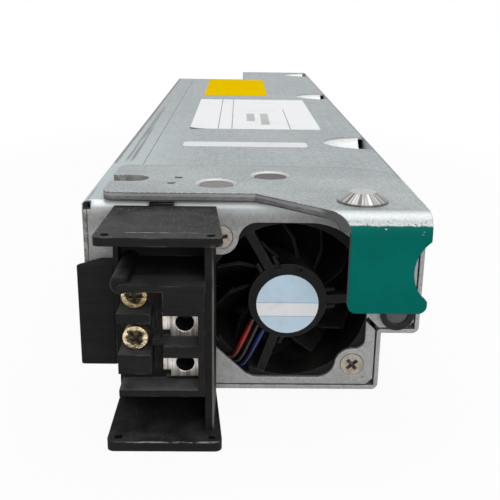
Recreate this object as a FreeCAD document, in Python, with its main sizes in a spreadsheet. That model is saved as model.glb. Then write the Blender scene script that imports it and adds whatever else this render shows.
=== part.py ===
"""Hot-swap server power supply with a direct-current terminal block, a fan and an ejector lever.

Millimetres. +X is right and +Y is rearward as seen from the fan end, +Z is up.
The origin is the middle of the underside of the case floor.
"""
import FreeCAD
import Part
import Sketcher
import math
import os

Vector = FreeCAD.Vector
Rotation = FreeCAD.Rotation

SIZES = {
    # Folded steel case
    "case_length": 346.0, "short_length": 296.0, "block_bay": 30.0, "ledge_out": 9.0,
    "ledge_height": 15.0, "step_in": 37.9, "sheet": 1.0,
    "bend_radius": 1.6, "seam_in": 9.0, "seam_gap": 0.15, "lap": 12.0, "lap_front": 14.0,
    "face_gap": 0.4, "face_side_gap": 0.12, "floor_seam_in": 6.0, "relief": 1.6, "relief_in": 0.4,
    "corner_clip": 1.5,
    "corner_slot": 3.2, "corner_slot_width": 1.1, "gusset_front": 82.5, "gusset_middle": 213.6,
    "gusset_rear_in": 14.0, "gusset_reach": 15.0, "gusset_half_angle": 27.0, "gusset_slope": 33.0,
    "lap_screw_radius": 1.5, "lap_screw_head": 2.3, "lap_screw_first": 60.0, "lap_screw_pitch": 84.0,
    # Opening for the fan in the front face
    "fan_side_gap": 1.6, "fan_floor_gap": 1.56, "fan_top_gap": 3.14, "opening_left_in": 2.4,
    "opening_right_in": 1.1, "opening_above_in": 0.4, "opening_below_in": 0.6, "opening_round": 14.0,
    "opening_chamfer_x": 8.7, "opening_chamfer_z": 8.2, "chamfer_blend": 5.0, "ear_radius": 4.2,
    "ear_blend": 4.5, "ear_side_blend": 2.6,
    # Fan
    "fan_side": 40.0, "fan_depth": 28.0, "fan_hole_in": 4.0, "fan_screw_radius": 1.5,
    "fan_screw_head": 3.0, "fan_screw_length": 12.0, "fan_corner": 3.0, "fan_wall": 0.8,
    "fan_base_radius": 9.3, "fan_base_depth": 3.2, "strut_width": 2.1, "strut_depth": 3.0,
    "strut_right": 3.0, "strut_up": 119.0, "strut_down": 251.0, "bearing_tube_radius": 3.6,
    "bearing_radius": 3.0, "bearing_length": 3.0, "shaft_radius": 1.0, "shaft_fit": 0.05,
    "shaft_end_gap": 0.5,
    "cup_radius": 9.0, "cup_wall": 0.8, "cup_start": 4.0, "cup_length": 21.0, "magnet_wall": 0.9,
    "stator_radius": 6.9, "stator_length": 11.0, "stator_gap": 1.0, "magnet_gap": 2.0,
    "blade_count": 11.0, "tip_gap": 1.3,
    "blade_thickness": 0.8, "blade_chord": 17.0, "blade_pitch": 58.0, "blade_sink": 0.5, "blade_sweep": 13.0,
    "blade_turn": 8.0, "fan_label_radius": 7.4, "fan_label_thickness": 0.15, "fan_label_drop": 0.8,
    "base_slot": 1.8, "base_slot_height": 0.8, "base_slot_depth": 0.8,
    "lead_radius": 0.65, "lead_pitch": 1.7, "lead_in": 1.45, "lead_low": 5.2, "lead_clear": 0.3,
    "lead_side": 8.6, "lead_run": 10.0, "lead_bend": 6.0, "plug_pitch": 2.0, "plug_margin": 2.2,
    "lead_share": 0.62,
    "lead_step": 1.2,
    "notch_depth": 3.2, "notch_width": 11.0, "notch_floor": 3.9, "notch_height": 8.4,
    # Terminal block
    "plate_left": 7.4, "plate_width": 25.1, "plate_flare": 0.8, "upper_plate_reach": 25.5,
    "upper_plate_thickness": 1.8, "upper_plate_drop": 0.8, "lower_plate_reach": 23.6,
    "lower_plate_thickness": 2.3, "lower_plate_drop": 0.7,
    "plate_corner": 1.6, "pin_hole": 0.9, "pin_hole_side": 2.4, "pin_hole_back": 2.2,
    "guard_wall": 1.9, "guard_wall_in": 2.0, "guard_wall_reach": 19.0, "rib_in": 0.2,
    "rib_width": 1.2, "rib_reach": 6.0, "back_plate": 2.0, "block_left": 10.4, "block_width": 18.2,
    "block_bottom": 9.4, "block_top": 34.6, "block_reach": 22.0, "block_round": 1.2, "recess_reach": 16.0,
    "screw_column": 7.0, "slot_width": 2.6, "upper_recess_low": 28.4, "upper_recess_high": 33.2,
    "lower_recess_low": 19.1, "lower_recess_high": 26.2, "toe_low": 10.9, "toe_high": 14.7,
    "bridge_low": 20.4, "bridge_height": 1.4, "bridge_in": 2.0, "pole_pitch": 9.5,
    "clamp_left": 21.1, "clamp_width": 6.2, "clamp_low": 21.1, "clamp_height": 6.9,
    "clamp_reach": 16.5, "clamp_depth": 8.0, "clamp_bore": 2.0, "clamp_bore_rise": 3.2,
    "clamp_bore_depth": 7.0, "arm_reach": 1.7, "arm_rise": 1.5, "arm_height": 4.0,
    "link_height": 9.0, "screw_in": 13.8, "screw_height": 31.2, "screw_head_radius": 2.75,
    "screw_head_height": 3.0, "screw_shank": 1.5, "screw_length": 8.0, "screw_slot": 0.9,
    "screw_slot_reach": 1.8, "screw_slot_depth": 1.2, "screw_room": 0.35, "screw_axial_gap": 0.12,
    "lip_depth": 2.6, "pole_plate": 2.2, "boss_depth": 6.0, "tail_inset": 1.0, "tail_out": 8.0,
    "hook_left": 15.4, "hook_width": 5.4, "hook_clear": 0.1, "hook_rise": 0.05,
    "side_guard_out": 1.1, "side_guard_low": 8.5, "side_guard_high": 33.4, "side_guard_reach": 4.0,
    "side_guard_round": 0.8, "peg_in": 3.6, "peg_radius": 1.5, "busbar_thickness": 1.2,
    "upper_busbar_foot": 58.0, "lower_busbar_foot": 50.0,
    # Ejector lever
    "lever_gap": 0.6, "lever_thickness": 2.0, "lever_left": 4.8, "lever_width": 70.7,
    "lever_front": 1.0, "lever_back": 29.5, "lever_kink": 39.2, "tab_left": 58.7, "tab_reach": 19.0,
    "tab_drop": 19.0, "bend_outer": 4.0, "lever_round": 15.0, "lever_small_round": 2.6,
    "tab_round": 1.8, "finger_radius": 8.5, "finger_drop": 9.7, "finger_depth": 3.2,
    "hook_slot_centre": 13.6, "hook_slot_breadth": 6.8, "hook_slot_length": 9.0,
    "pivot_x": 30.2, "pivot_y": 9.0, "dish_radius": 5.1, "dish_floor": 4.4, "dish_depth": 1.1,
    "rivet_head": 4.0, "rivet_head_height": 0.7, "rivet_radius": 2.5, "rivet_fit": 0.05,
    "rivet_gap": 0.1, "rivet_tail": 3.6, "rivet_tail_height": 0.9, "washer_radius": 6.0,
    "glide_x": 43.4, "glide_y": 18.3, "glide_radius": 4.0,
    "stud_x": 62.5, "stud_y": 7.3, "stud_base": 5.6, "stud_rim": 0.4, "stud_top": 2.85,
    "stud_height": 2.15, "stud_shank": 2.0, "stud_tail": 3.0, "stud_tail_height": 0.5,
    "small_hole": 1.1, "small_hole_a_x": 20.9, "small_hole_a_y": 14.7, "small_hole_b_x": 19.6,
    "small_hole_b_y": 8.7,
    # Status lamp
    "lamp_in": 5.6, "lamp_z": 20.2, "lamp_flange": 4.0, "lamp_flange_height": 1.2,
    "lamp_barrel": 3.2, "lamp_barrel_length": 7.0, "lamp_radius": 2.6, "lamp_length": 6.0,
    "lamp_set_back": 0.6,
    # Circuit board and what stands on it
    "board_height": 6.0, "board_thickness": 1.6, "board_front": 33.0, "board_side": 2.0,
    "board_step_gap": 3.0, "edge_width": 24.0, "edge_out": 9.0, "edge_slot": 0.8,
    "standoff_x": 12.0, "standoff_y": 5.2, "standoff_radius": 2.6, "standoff_hole": 1.3,
    "board_screw_head": 2.6, "board_screw_height": 1.6, "film_thickness": 0.4,
    "contact_first": 1.4, "contact_pitch": 3.2, "contact_width": 2.0, "contact_length": 7.0,
    "contact_thickness": 0.1,
    "cap_radius": 9.0, "cap_height": 32.0, "cap_pitch": 20.0, "small_cap_radius": 5.0,
    "small_cap_height": 20.0, "small_cap_pitch": 11.5, "choke_outer": 13.0, "choke_inner": 3.8,
    "choke_height": 9.2, "choke_edge": 1.8, "sink_base": 3.0, "sink_height": 30.0, "fin_depth": 9.0,
    "fin_thickness": 1.4, "fin_pitch": 5.7, "core_length": 34.0, "core_gap": 0.6,
    "core_height": 28.0, "core_leg": 8.0, "core_yoke": 6.0, "winding_out": 4.0,
    "transistor_width": 10.0, "transistor_height": 15.0, "transistor_thickness": 4.4,
    "transistor_pitch": 20.0, "transistor_lift": 4.0, "transistor_first": 7.0,
    "control_length": 46.0, "control_height": 26.0,
    "plug_height": 6.0, "plug_depth": 5.0, "plug_width": 8.4, "header_height": 3.0,
    "vent_width": 2.4, "vent_pitch": 4.8, "vent_edge": 7.0, "vent_side": 4.0,
    # Places on the board: across from its left or right edge, along from its front edge
    "input_ring_in": 18.0, "input_ring_y": 28.0, "input_cap_in": 12.0, "input_cap_y": 56.0,
    "primary_sink_in": 12.0, "core_in": 13.0, "second_sink_in": 12.0, "output_ring_gap": 4.0,
    "output_cap_in": 6.0, "output_cap_gap": 0.5, "control_gap": 2.5,
    # Shares of the board's length up to the step
    "sink_share": 0.3475, "primary_share": 0.1737, "core_share": 0.556, "second_share": 0.5714,
    "output_ring_share": 0.7645, "output_cap_share": 0.8494, "control_share": 0.7568,
}

doc = FreeCAD.newDocument("server_power_supply")
sheet_object = doc.addObject("Spreadsheet::Sheet", "Sizes")
for row, (alias, number) in enumerate(SIZES.items(), start=1):
    sheet_object.set(f"A{row}", alias)
    sheet_object.set(f"B{row}", str(number))
    sheet_object.setAlias(f"B{row}", alias)
doc.recompute()


class Size:
    """A length with the sheet expression that gives it, so that arithmetic keeps the two together."""

    def __init__(self, value, text):
        self.value = float(value)
        self.text = text

    def __add__(self, other):
        other = as_size(other)
        return Size(self.value + other.value, f"({self.text} + {other.text})")

    def __sub__(self, other):
        other = as_size(other)
        return Size(self.value - other.value, f"({self.text} - {other.text})")

    def __mul__(self, factor):
        factor = as_size(factor)
        return Size(self.value * factor.value, f"({self.text} * {factor.text})")

    def __truediv__(self, factor):
        factor = as_size(factor)
        return Size(self.value / factor.value, f"({self.text} / {factor.text})")

    def __neg__(self):
        return Size(-self.value, f"(0 - {self.text})")

    def __radd__(self, other):
        return as_size(other) + self

    def __rsub__(self, other):
        return as_size(other) - self

    def __rmul__(self, factor):
        return as_size(factor) * self


def as_size(value):
    """Wraps a plain number so that it can stand beside sizes from the sheet."""
    return value if isinstance(value, Size) else Size(value, repr(float(value)))


class Dimensions:
    """Every size of the sheet as an attribute."""


dim = Dimensions()
for alias in SIZES:
    setattr(dim, alias, Size(sheet_object.get(alias), f"Sizes.{alias}"))

nodes = []


def bind(item, target, size):
    """Ties one property of an object to a size."""
    item.setExpression(target, as_size(size).text)


def place(item, point):
    """Ties the base point of an object's placement to three sizes."""
    for axis, size in zip("xyz", point):
        bind(item, f"Placement.Base.{axis}", size)


def node(item, label):
    """Registers a finished sub-part under the name of its file."""
    item.Label = label
    nodes.append(item)
    return item


def box(name, low, high):
    """A block between two corners."""
    item = doc.addObject("Part::Box", name)
    for target, start, end in zip(("Length", "Width", "Height"), low, high):
        bind(item, target, as_size(end) - start)
    place(item, low)
    return item


TURN = {
    "X": Rotation(Vector(0, 1, 0), 90),
    "Y": Rotation(Vector(1, 0, 0), -90),
    "Z": Rotation(),
}


def rod(name, start, axis, radius, length):
    """A cylinder from a point along +X, +Y or +Z."""
    item = doc.addObject("Part::Cylinder", name)
    item.Placement = FreeCAD.Placement(Vector(), TURN[axis])
    bind(item, "Radius", radius)
    bind(item, "Height", length)
    place(item, start)
    return item


def taper(name, start, axis, radius_start, radius_end, length):
    """A cone or a truncated cone from a point along +X, +Y or +Z."""
    item = doc.addObject("Part::Cone", name)
    item.Placement = FreeCAD.Placement(Vector(), TURN[axis])
    bind(item, "Radius1", radius_start)
    bind(item, "Radius2", radius_end)
    bind(item, "Height", length)
    place(item, start)
    return item


def fuse(name, parts):
    """One solid from several that meet."""
    item = doc.addObject("Part::MultiFuse", name)
    item.Shapes = parts
    item.Refine = True
    return item


def cut(name, base, tools):
    """A solid less one or more tools."""
    tool = tools[0] if len(tools) == 1 else fuse(f"{name}_tools", tools)
    item = doc.addObject("Part::Cut", name)
    item.Base = base
    item.Tool = tool
    item.Refine = True
    return item


def common(name, first, second):
    """What two solids share."""
    item = doc.addObject("Part::MultiCommon", name)
    item.Shapes = [first, second]
    return item


def group(name, parts):
    """Separate solids kept together in one sub-part."""
    item = doc.addObject("Part::Compound", name)
    item.Links = parts
    return item


def edges_where(shape, chosen):
    """Numbers of the straight edges for which the test on their two ends is true."""
    found = []
    for number, edge in enumerate(shape.Edges, start=1):
        if isinstance(edge.Curve, Part.Line) and chosen(*[v.Point for v in edge.Vertexes]):
            found.append(number)
    if not found:
        raise RuntimeError("no edge fits the description")
    return found


def along(axis, first=None, second=None):
    """A test for edges that run along one axis through given values of the other two."""
    index = "XYZ".index(axis)
    others = [i for i in range(3) if i != index]

    def chosen(a, b):
        for i, wanted in zip(others, (first, second)):
            if abs(a[i] - b[i]) > 1e-6:
                return False
            if wanted is not None and abs(a[i] - as_size(wanted).value) > 1e-4:
                return False
        return True

    return chosen


def rounded(name, base, radius, *tests, kind="Part::Fillet"):
    """Rounds or chamfers the edges of a solid that pass any of the tests."""
    doc.recompute()
    item = doc.addObject(kind, name)
    item.Base = base
    numbers = sorted({n for test in tests for n in edges_where(base.Shape, test)})
    reach = radius if isinstance(radius, tuple) else (radius, radius)
    item.Edges = [(n, reach[0].value, reach[1].value) for n in numbers]
    return item


def new_body(name):
    """An empty body for features built on sketches."""
    return doc.addObject("PartDesign::Body", name)


def attach(body, name, plane, offset):
    """A sketch on one of the body's own planes, moved along that plane's normal."""
    sketch = body.newObject("Sketcher::SketchObject", name)
    support = [f for f in body.Origin.OriginFeatures if f.Role == plane][0]
    sketch.AttachmentSupport = [(support, "")]
    sketch.MapMode = "FlatFace"
    bind(sketch, "AttachmentOffset.Base.z", offset)
    return sketch


def tie(sketch, kind, geometry, vertex, size):
    """Ties one coordinate of a sketch point to a size, measured from the sketch origin."""
    ends = (-1, 1, geometry, vertex) if size.value >= 0 else (geometry, vertex, -1, 1)
    size = size if size.value >= 0 else -size
    index = sketch.addConstraint(Sketcher.Constraint(kind, *ends, size.value))
    bind(sketch, f"Constraints[{index}]", size)


def polygon(sketch, points):
    """A closed outline of straight lines whose corners are tied to sizes."""
    points = [(as_size(x), as_size(y)) for x, y in points]
    first = sketch.GeometryCount
    for (ax, ay), (bx, by) in zip(points, points[1:] + points[:1]):
        line = Part.LineSegment(Vector(ax.value, ay.value, 0), Vector(bx.value, by.value, 0))
        sketch.addGeometry(line, False)
    for i, (x, y) in enumerate(points):
        after = first + (i + 1) % len(points)
        sketch.addConstraint(Sketcher.Constraint("Coincident", first + i, 2, after, 1))
        tie(sketch, "DistanceX", first + i, 1, x)
        tie(sketch, "DistanceY", first + i, 1, y)


def circle(sketch, x, y, radius):
    """A circle whose centre and radius are tied to sizes."""
    x, y = as_size(x), as_size(y)
    round_line = Part.Circle(Vector(x.value, y.value, 0), Vector(0, 0, 1), radius.value)
    index = sketch.addGeometry(round_line, False)
    tie(sketch, "DistanceX", index, 3, x)
    tie(sketch, "DistanceY", index, 3, y)
    number = sketch.addConstraint(Sketcher.Constraint("Radius", index, radius.value))
    bind(sketch, f"Constraints[{number}]", radius)


def pad(body, sketch, length, flip=False):
    """Thickens a sketch along its normal, or against it."""
    feature = body.newObject("PartDesign::Pad", f"{sketch.Name}_pad")
    feature.Profile = sketch
    bind(feature, "Length", length)
    feature.Reversed = flip
    return feature


def pocket(body, sketch, length, flip=False):
    """Cuts a sketch into the body and makes sure that it removed something."""
    doc.recompute()
    before = body.Shape.Volume
    feature = body.newObject("PartDesign::Pocket", f"{sketch.Name}_pocket")
    feature.Profile = sketch
    bind(feature, "Length", length)
    feature.Reversed = flip
    doc.recompute()
    if body.Shape.Volume > before - 1e-6:
        raise RuntimeError(f"{sketch.Name} removes nothing")
    return feature


# Places that several pieces share
body_width = dim.fan_side + dim.block_bay
left = -body_width / 2
right = body_width / 2
outer_right = right + dim.ledge_out
inner_left = left + dim.ledge_out
front = -dim.case_length / 2
rear = dim.case_length / 2
short_rear = front + dim.short_length
step = left + dim.step_in
sheet = dim.sheet
fan_low = sheet + dim.fan_floor_gap
top = fan_low + dim.fan_side + dim.fan_top_gap + sheet
seam = left + dim.seam_in
floor_seam = inner_left + dim.floor_seam_in
face_back = front + sheet
fan_half = dim.fan_side / 2
fan_x = right - sheet - dim.fan_side_gap - fan_half
fan_z = fan_low + fan_half
fan_bore = fan_half - dim.fan_wall
half_pitch = fan_half - dim.fan_hole_in
fan_screw_places = (
    (fan_x - half_pitch, fan_z + half_pitch),
    (fan_x + half_pitch, fan_z - half_pitch),
)
fan_front = face_back
fan_back = fan_front + dim.fan_depth
lamp_x = outer_right - dim.lamp_in
lever_low = top + dim.lever_gap
lever_top = lever_low + dim.lever_thickness
pivot_x = left + dim.pivot_x
pivot_y = front + dim.pivot_y
block_left = left + dim.block_left
block_right = block_left + dim.block_width
upper_high = top - dim.upper_plate_drop
upper_low = upper_high - dim.upper_plate_thickness
hook_left = left + dim.hook_left
hook_right = hook_left + dim.hook_width
lap_screw_x = floor_seam + dim.lap / 2
lap_screw_rows = [front + dim.lap_screw_first + dim.lap_screw_pitch * k for k in range(3)]
CUT = 1.0


def screw_tool(name, x, y, z, axis, shank, head, length):
    """A countersunk screw: a flat head that tapers to its shank."""
    cone = taper(f"{name}_head", (x, y, z), axis, head, shank, head - shank)
    stem = rod(f"{name}_shank", (x, y, z), axis, shank, length)
    return fuse(name, [cone, stem])


# Case shell: floor, stepped right wall, top and the front face folded down from the top
# The section of the case is a broad T: a ledge on either side slides on a rail of the bay
shell_body = new_body("shell_body")
section = attach(shell_body, "shell_section", "XZ_Plane", -front)
polygon(section, [
    (seam, top), (outer_right, top), (outer_right, dim.ledge_height), (right, dim.ledge_height),
    (right, 0), (floor_seam, 0), (floor_seam, sheet), (right - sheet, sheet),
    (right - sheet, dim.ledge_height + sheet), (outer_right - sheet, dim.ledge_height + sheet),
    (outer_right - sheet, top - sheet), (seam, top - sheet),
])
pad(shell_body, section, dim.case_length, flip=True)
corner = attach(shell_body, "rear_corner", "XY_Plane", top + CUT)
polygon(corner, [
    (seam - CUT, short_rear), (step, short_rear), (step, rear + CUT), (seam - CUT, rear + CUT),
])
pocket(shell_body, corner, top + 2 * CUT)
strip = attach(shell_body, "front_strip", "XY_Plane", top - sheet)
face_left = left + sheet + dim.face_side_gap
strip_back = front + dim.lap_front
polygon(strip, [(face_left, front), (seam, front), (seam, strip_back), (face_left, strip_back)])
pad(shell_body, strip, sheet)
face = attach(shell_body, "front_face", "XZ_Plane", -front)
face_right = outer_right - sheet - dim.face_gap
face_inner = right - sheet - dim.face_gap
face_ledge = dim.ledge_height + sheet + dim.face_gap
face_low = sheet + dim.face_gap
face_foot = inner_left + sheet + dim.face_side_gap
clip = dim.corner_clip
polygon(face, [
    (face_left, top), (face_right, top), (face_right, face_ledge + clip), (face_right - clip, face_ledge),
    (face_inner, face_ledge), (face_inner, face_low + clip), (face_inner - clip, face_low),
    (face_foot, face_low), (face_foot, face_ledge), (face_left, face_ledge),
])
pad(shell_body, face, sheet, flip=True)

shell_folded = rounded(
    "shell_folded", shell_body, dim.bend_radius,
    along("Y", outer_right, top), along("Y", outer_right, dim.ledge_height), along("Y", right, 0),
)
relief_left = box(
    "relief_left", (left + dim.relief_in, front - CUT, top - dim.relief),
    (left + dim.relief_in + dim.relief, front + dim.relief, top + CUT),
)
relief_right = box(
    "relief_right", (outer_right - dim.relief, front - CUT, top - dim.relief),
    (outer_right + CUT, front + dim.relief, top + CUT),
)
corner_slot = doc.addObject("Part::Box", "corner_slot")
bind(corner_slot, "Length", dim.corner_slot + CUT)
bind(corner_slot, "Width", sheet + 2 * CUT)
bind(corner_slot, "Height", dim.corner_slot_width)
corner_slot.Placement = FreeCAD.Placement(Vector(), Rotation(Vector(0, 1, 0), 225))
slot_shift = dim.corner_slot_width / 2 * math.sqrt(0.5)
slot_start = CUT * math.sqrt(0.5)
place(corner_slot, (face_inner + slot_start + slot_shift, front - CUT, face_ledge - slot_start + slot_shift))
shell_relieved = cut("shell_relieved", shell_folded, [relief_left, relief_right, corner_slot])
shell_bent = rounded("shell_bent", shell_relieved, dim.bend_radius, along("X", front, top))

# The opening shows the fan and leaves an ear round each fan screw, blended into the straight edges


def cross_way(radius, rise):
    """How far sideways of its centre a circle crosses a line at some height."""
    return Size(math.sqrt(radius.value ** 2 - rise.value ** 2), f"sqrt({radius.text} ^ 2 - {rise.text} ^ 2)")


opening_left = fan_x - fan_half + dim.opening_left_in
opening_right = fan_x + fan_half - dim.opening_right_in
opening_low = fan_z - fan_half + dim.opening_below_in
opening_high = fan_z + fan_half - dim.opening_above_in
chamfer_end = opening_left + dim.opening_chamfer_x
opening_body = new_body("opening_body")
opening_outline = attach(opening_body, "opening_outline", "XZ_Plane", CUT - front)
polygon(opening_outline, [
    (opening_left, opening_low + dim.opening_chamfer_z), (chamfer_end, opening_low),
    (opening_right, opening_low), (opening_right, opening_high), (opening_left, opening_high),
])
pad(opening_body, opening_outline, sheet + 2 * CUT, flip=True)
opening_cut = rounded(
    "opening_cut", opening_body, dim.opening_round, along("Y", opening_right, opening_high),
)
ears = [
    rod(f"ear_{k}", (x, front - 2 * CUT, z), "Y", dim.ear_radius, sheet + 4 * CUT)
    for k, (x, z) in enumerate(fan_screw_places)
]
opening_eared = cut("opening_eared", opening_cut, ears)
high_ear, low_ear = fan_screw_places
high_cross = high_ear[0] + cross_way(dim.ear_radius, opening_high - high_ear[1])
low_cross = low_ear[0] - cross_way(dim.ear_radius, low_ear[1] - opening_low)
side_cross = low_ear[1] + cross_way(dim.ear_radius, opening_right - low_ear[0])
opening_blended = rounded(
    "opening_blended", opening_eared, dim.ear_blend,
    along("Y", high_cross, opening_high), along("Y", low_cross, opening_low),
)
opening_side = rounded(
    "opening_side", opening_blended, dim.ear_side_blend, along("Y", opening_right, side_cross),
)
fan_opening = rounded(
    "fan_opening", opening_side, dim.chamfer_blend,
    along("Y", chamfer_end, opening_low),
)

block_opening = box(
    "block_opening", (block_left + dim.back_plate, front - CUT, dim.toe_low),
    (block_right - dim.back_plate, face_back + CUT, dim.block_top - dim.back_plate),
)
hook_opening = box(
    "hook_opening",
    (hook_left - dim.hook_clear, front - CUT, upper_low - dim.hook_clear),
    (hook_right + dim.hook_clear, face_back + CUT, top + CUT),
)
lamp_opening = rod(
    "lamp_opening", (lamp_x, front - CUT, dim.lamp_z), "Y", dim.lamp_barrel, sheet + 2 * CUT,
)
peg_z = (dim.side_guard_low + dim.side_guard_high) / 2
peg_x = left + dim.peg_in
peg_opening = rod("peg_opening", (peg_x, front - CUT, peg_z), "Y", dim.peg_radius, sheet + 2 * CUT)
rivet_opening = rod(
    "rivet_opening", (pivot_x, pivot_y, top - sheet - CUT), "Z", dim.rivet_radius, sheet + 2 * CUT,
)
fan_screw_sinks = [
    screw_tool(f"fan_sink_{k}", x, front, z, "Y", dim.fan_screw_radius, dim.fan_screw_head, sheet + CUT)
    for k, (x, z) in enumerate(fan_screw_places)
]
lap_sinks = [
    screw_tool(
        f"lap_sink_{k}", lap_screw_x, y, 0, "Z", dim.lap_screw_radius, dim.lap_screw_head, sheet + CUT,
    )
    for k, y in enumerate(lap_screw_rows)
]

# Gussets pressed into the fold between the top and the right wall
gusset_rows = [front + dim.gusset_front, front + dim.gusset_middle, rear - dim.gusset_rear_in]
gusset_half = math.radians(dim.gusset_half_angle.value)
gusset_turn = Rotation(Vector(0, 1, 0), 90 + dim.gusset_slope.value)
gusset_back = sheet / math.sin(gusset_half)


def gusset_cone(name, y, setback):
    """A cone that enters the top and leaves through the right wall, its point moved back by a length."""
    length = dim.gusset_reach * 2.5
    item = doc.addObject("Part::Cone", name)
    item.Placement = FreeCAD.Placement(Vector(), gusset_turn)
    bind(item, "Radius1", 0)
    bind(item, "Radius2", length * math.tan(gusset_half))
    bind(item, "Height", length)
    slope = math.radians(dim.gusset_slope.value)
    tip_x = outer_right - dim.gusset_reach - setback * math.cos(slope)
    place(item, (tip_x, y, top + setback * math.sin(slope)))
    return item


gusset_hollows = [gusset_cone(f"gusset_hollow_{k}", y, as_size(0)) for k, y in enumerate(gusset_rows)]
gusset_walls = []
for k, y in enumerate(gusset_rows):
    inside = box(
        f"gusset_room_{k}",
        (outer_right - dim.gusset_reach * 2, y - dim.gusset_reach, dim.ledge_height + sheet * 2),
        (outer_right - sheet / 2, y + dim.gusset_reach, top - sheet / 2),
    )
    outside = gusset_cone(f"gusset_outside_{k}", y, gusset_back)
    gusset_walls.append(common(f"gusset_wall_{k}", outside, inside))
shell_pressed = fuse("shell_pressed", [shell_bent] + gusset_walls)
node(cut("shell_cut", shell_pressed, [
    fan_opening, block_opening, hook_opening, lamp_opening, peg_opening, rivet_opening,
] + fan_screw_sinks + lap_sinks + gusset_hollows), "case_shell")

# Side cover: the left wall with a flange above and below, each set in by one sheet to lap under the shell
cover_body = new_body("cover_body")
cover_section = attach(cover_body, "cover_section", "XZ_Plane", -front)
flange_end = seam - dim.seam_gap
flange_turn = flange_end - sheet
lap_end = seam + dim.lap
floor_end = floor_seam - dim.seam_gap
floor_turn = floor_end - sheet
floor_lap_end = floor_seam + dim.lap
ledge_inside = dim.ledge_height + sheet
wall_inside = left + sheet
foot_inside = inner_left + sheet
polygon(cover_section, [
    (left, dim.ledge_height), (inner_left, dim.ledge_height), (inner_left, 0), (floor_end, 0),
    (floor_end, sheet), (floor_lap_end, sheet), (floor_lap_end, sheet * 2), (floor_turn, sheet * 2),
    (floor_turn, sheet), (foot_inside, sheet), (foot_inside, ledge_inside), (wall_inside, ledge_inside),
    (wall_inside, top - sheet), (flange_turn, top - sheet), (flange_turn, top - sheet * 2),
    (lap_end, top - sheet * 2), (lap_end, top - sheet), (flange_end, top - sheet),
    (flange_end, top), (left, top),
])
pad(cover_body, cover_section, dim.short_length, flip=True)
cover_bent = rounded(
    "cover_bent", cover_body, dim.bend_radius / 2,
    along("Y", inner_left, 0), along("Y", left, dim.ledge_height), along("Y", left, top),
)
room_end = floor_lap_end + CUT
face_room = face_back + dim.face_gap
front_room = box("front_room", (wall_inside, front - CUT, ledge_inside), (room_end, face_room, top - sheet))
foot_room = box("foot_room", (foot_inside, front - CUT, sheet), (room_end, face_room, ledge_inside))
strip_room = box(
    "strip_room", (wall_inside, front - CUT, top - sheet * 3),
    (lap_end + CUT, strip_back + dim.seam_gap, top + CUT),
)
panel_start = short_rear - sheet
rear_room = box(
    "rear_room", (wall_inside, panel_start, ledge_inside), (room_end, short_rear + CUT, top - sheet),
)
rear_foot_room = box(
    "rear_foot_room", (foot_inside, panel_start, sheet), (room_end, short_rear + CUT, ledge_inside),
)
lap_holes = [
    rod(f"lap_hole_{k}", (lap_screw_x, y, 0), "Z", dim.lap_screw_radius, sheet * 3)
    for k, y in enumerate(lap_screw_rows)
]
node(cut("cover_cut", cover_bent, [
    front_room, foot_room, strip_room, rear_room, rear_foot_room, relief_left,
] + lap_holes), "side_cover")
lap_screws = [
    screw_tool(
        f"lap_screw_{k}", lap_screw_x, y, 0, "Z", dim.lap_screw_radius, dim.lap_screw_head, sheet * 2,
    )
    for k, y in enumerate(lap_screw_rows)
]
node(group("lap_screw_set", lap_screws), "cover_screws")

# Rear panel: one sheet folded round the step at the rear, with vents and a slot for the board's edge
panel_body = new_body("panel_body")
panel_plan = attach(panel_body, "panel_plan", "XY_Plane", sheet)
panel_left = left + sheet
panel_right = right - sheet
polygon(panel_plan, [
    (panel_left, short_rear - sheet), (step + sheet, short_rear - sheet), (step + sheet, rear - sheet),
    (panel_right, rear - sheet), (panel_right, rear), (step, rear), (step, short_rear),
    (panel_left, short_rear),
])
pad(panel_body, panel_plan, top - sheet * 2)
panel_wing = attach(panel_body, "panel_wing", "XZ_Plane", -rear)
polygon(panel_wing, [
    (panel_right, dim.ledge_height + sheet), (outer_right - sheet, dim.ledge_height + sheet),
    (outer_right - sheet, top - sheet), (panel_right, top - sheet),
])
pad(panel_body, panel_wing, sheet)
board_top = dim.board_height + dim.board_thickness
edge_left = (step + panel_right - dim.edge_width) / 2
edge_right = edge_left + dim.edge_width
edge_slot = box(
    "edge_slot", (edge_left - dim.edge_slot, rear - sheet - CUT, dim.board_height - dim.edge_slot),
    (edge_right + dim.edge_slot, rear + CUT, board_top + dim.edge_slot),
)
vents = []
for k in range(5):
    vent_left = foot_inside + dim.vent_side + dim.vent_pitch * k
    vents.append(box(
        f"vent_{k}", (vent_left, short_rear - sheet - CUT, dim.vent_edge),
        (vent_left + dim.vent_width, short_rear + CUT, top - dim.vent_edge),
    ))
panel_step = box(
    "panel_step", (panel_left - CUT, panel_start - CUT, 0), (foot_inside, short_rear + CUT, ledge_inside),
)
node(cut("panel_cut", panel_body, vents + [edge_slot, panel_step]), "rear_panel")

# Fan frame: a square tube with the motor base carried on three struts at its front
frame_block = rounded("frame_block", box(
    "frame_cube", (fan_x - fan_half, fan_front, fan_z - fan_half),
    (fan_x + fan_half, fan_back, fan_z + fan_half),
), dim.fan_corner, along("Y"))
frame_bore = rod("frame_bore", (fan_x, fan_front - CUT, fan_z), "Y", fan_bore, dim.fan_depth + 2 * CUT)
frame_holes = [
    screw_tool(
        f"frame_hole_{k}", x, front, z, "Y", dim.fan_screw_radius, dim.fan_screw_head,
        dim.fan_depth + 4 * CUT,
    )
    for k, (x, z) in enumerate(fan_screw_places)
]
frame_left = fan_x - fan_half
lead_notch = box(
    "lead_notch", (frame_left - CUT, fan_front - CUT, dim.notch_floor),
    (frame_left + dim.notch_width, fan_front + dim.notch_depth, dim.notch_floor + dim.notch_height),
)
frame_tube = cut("frame_tube", frame_block, [frame_bore, lead_notch] + frame_holes)


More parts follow.
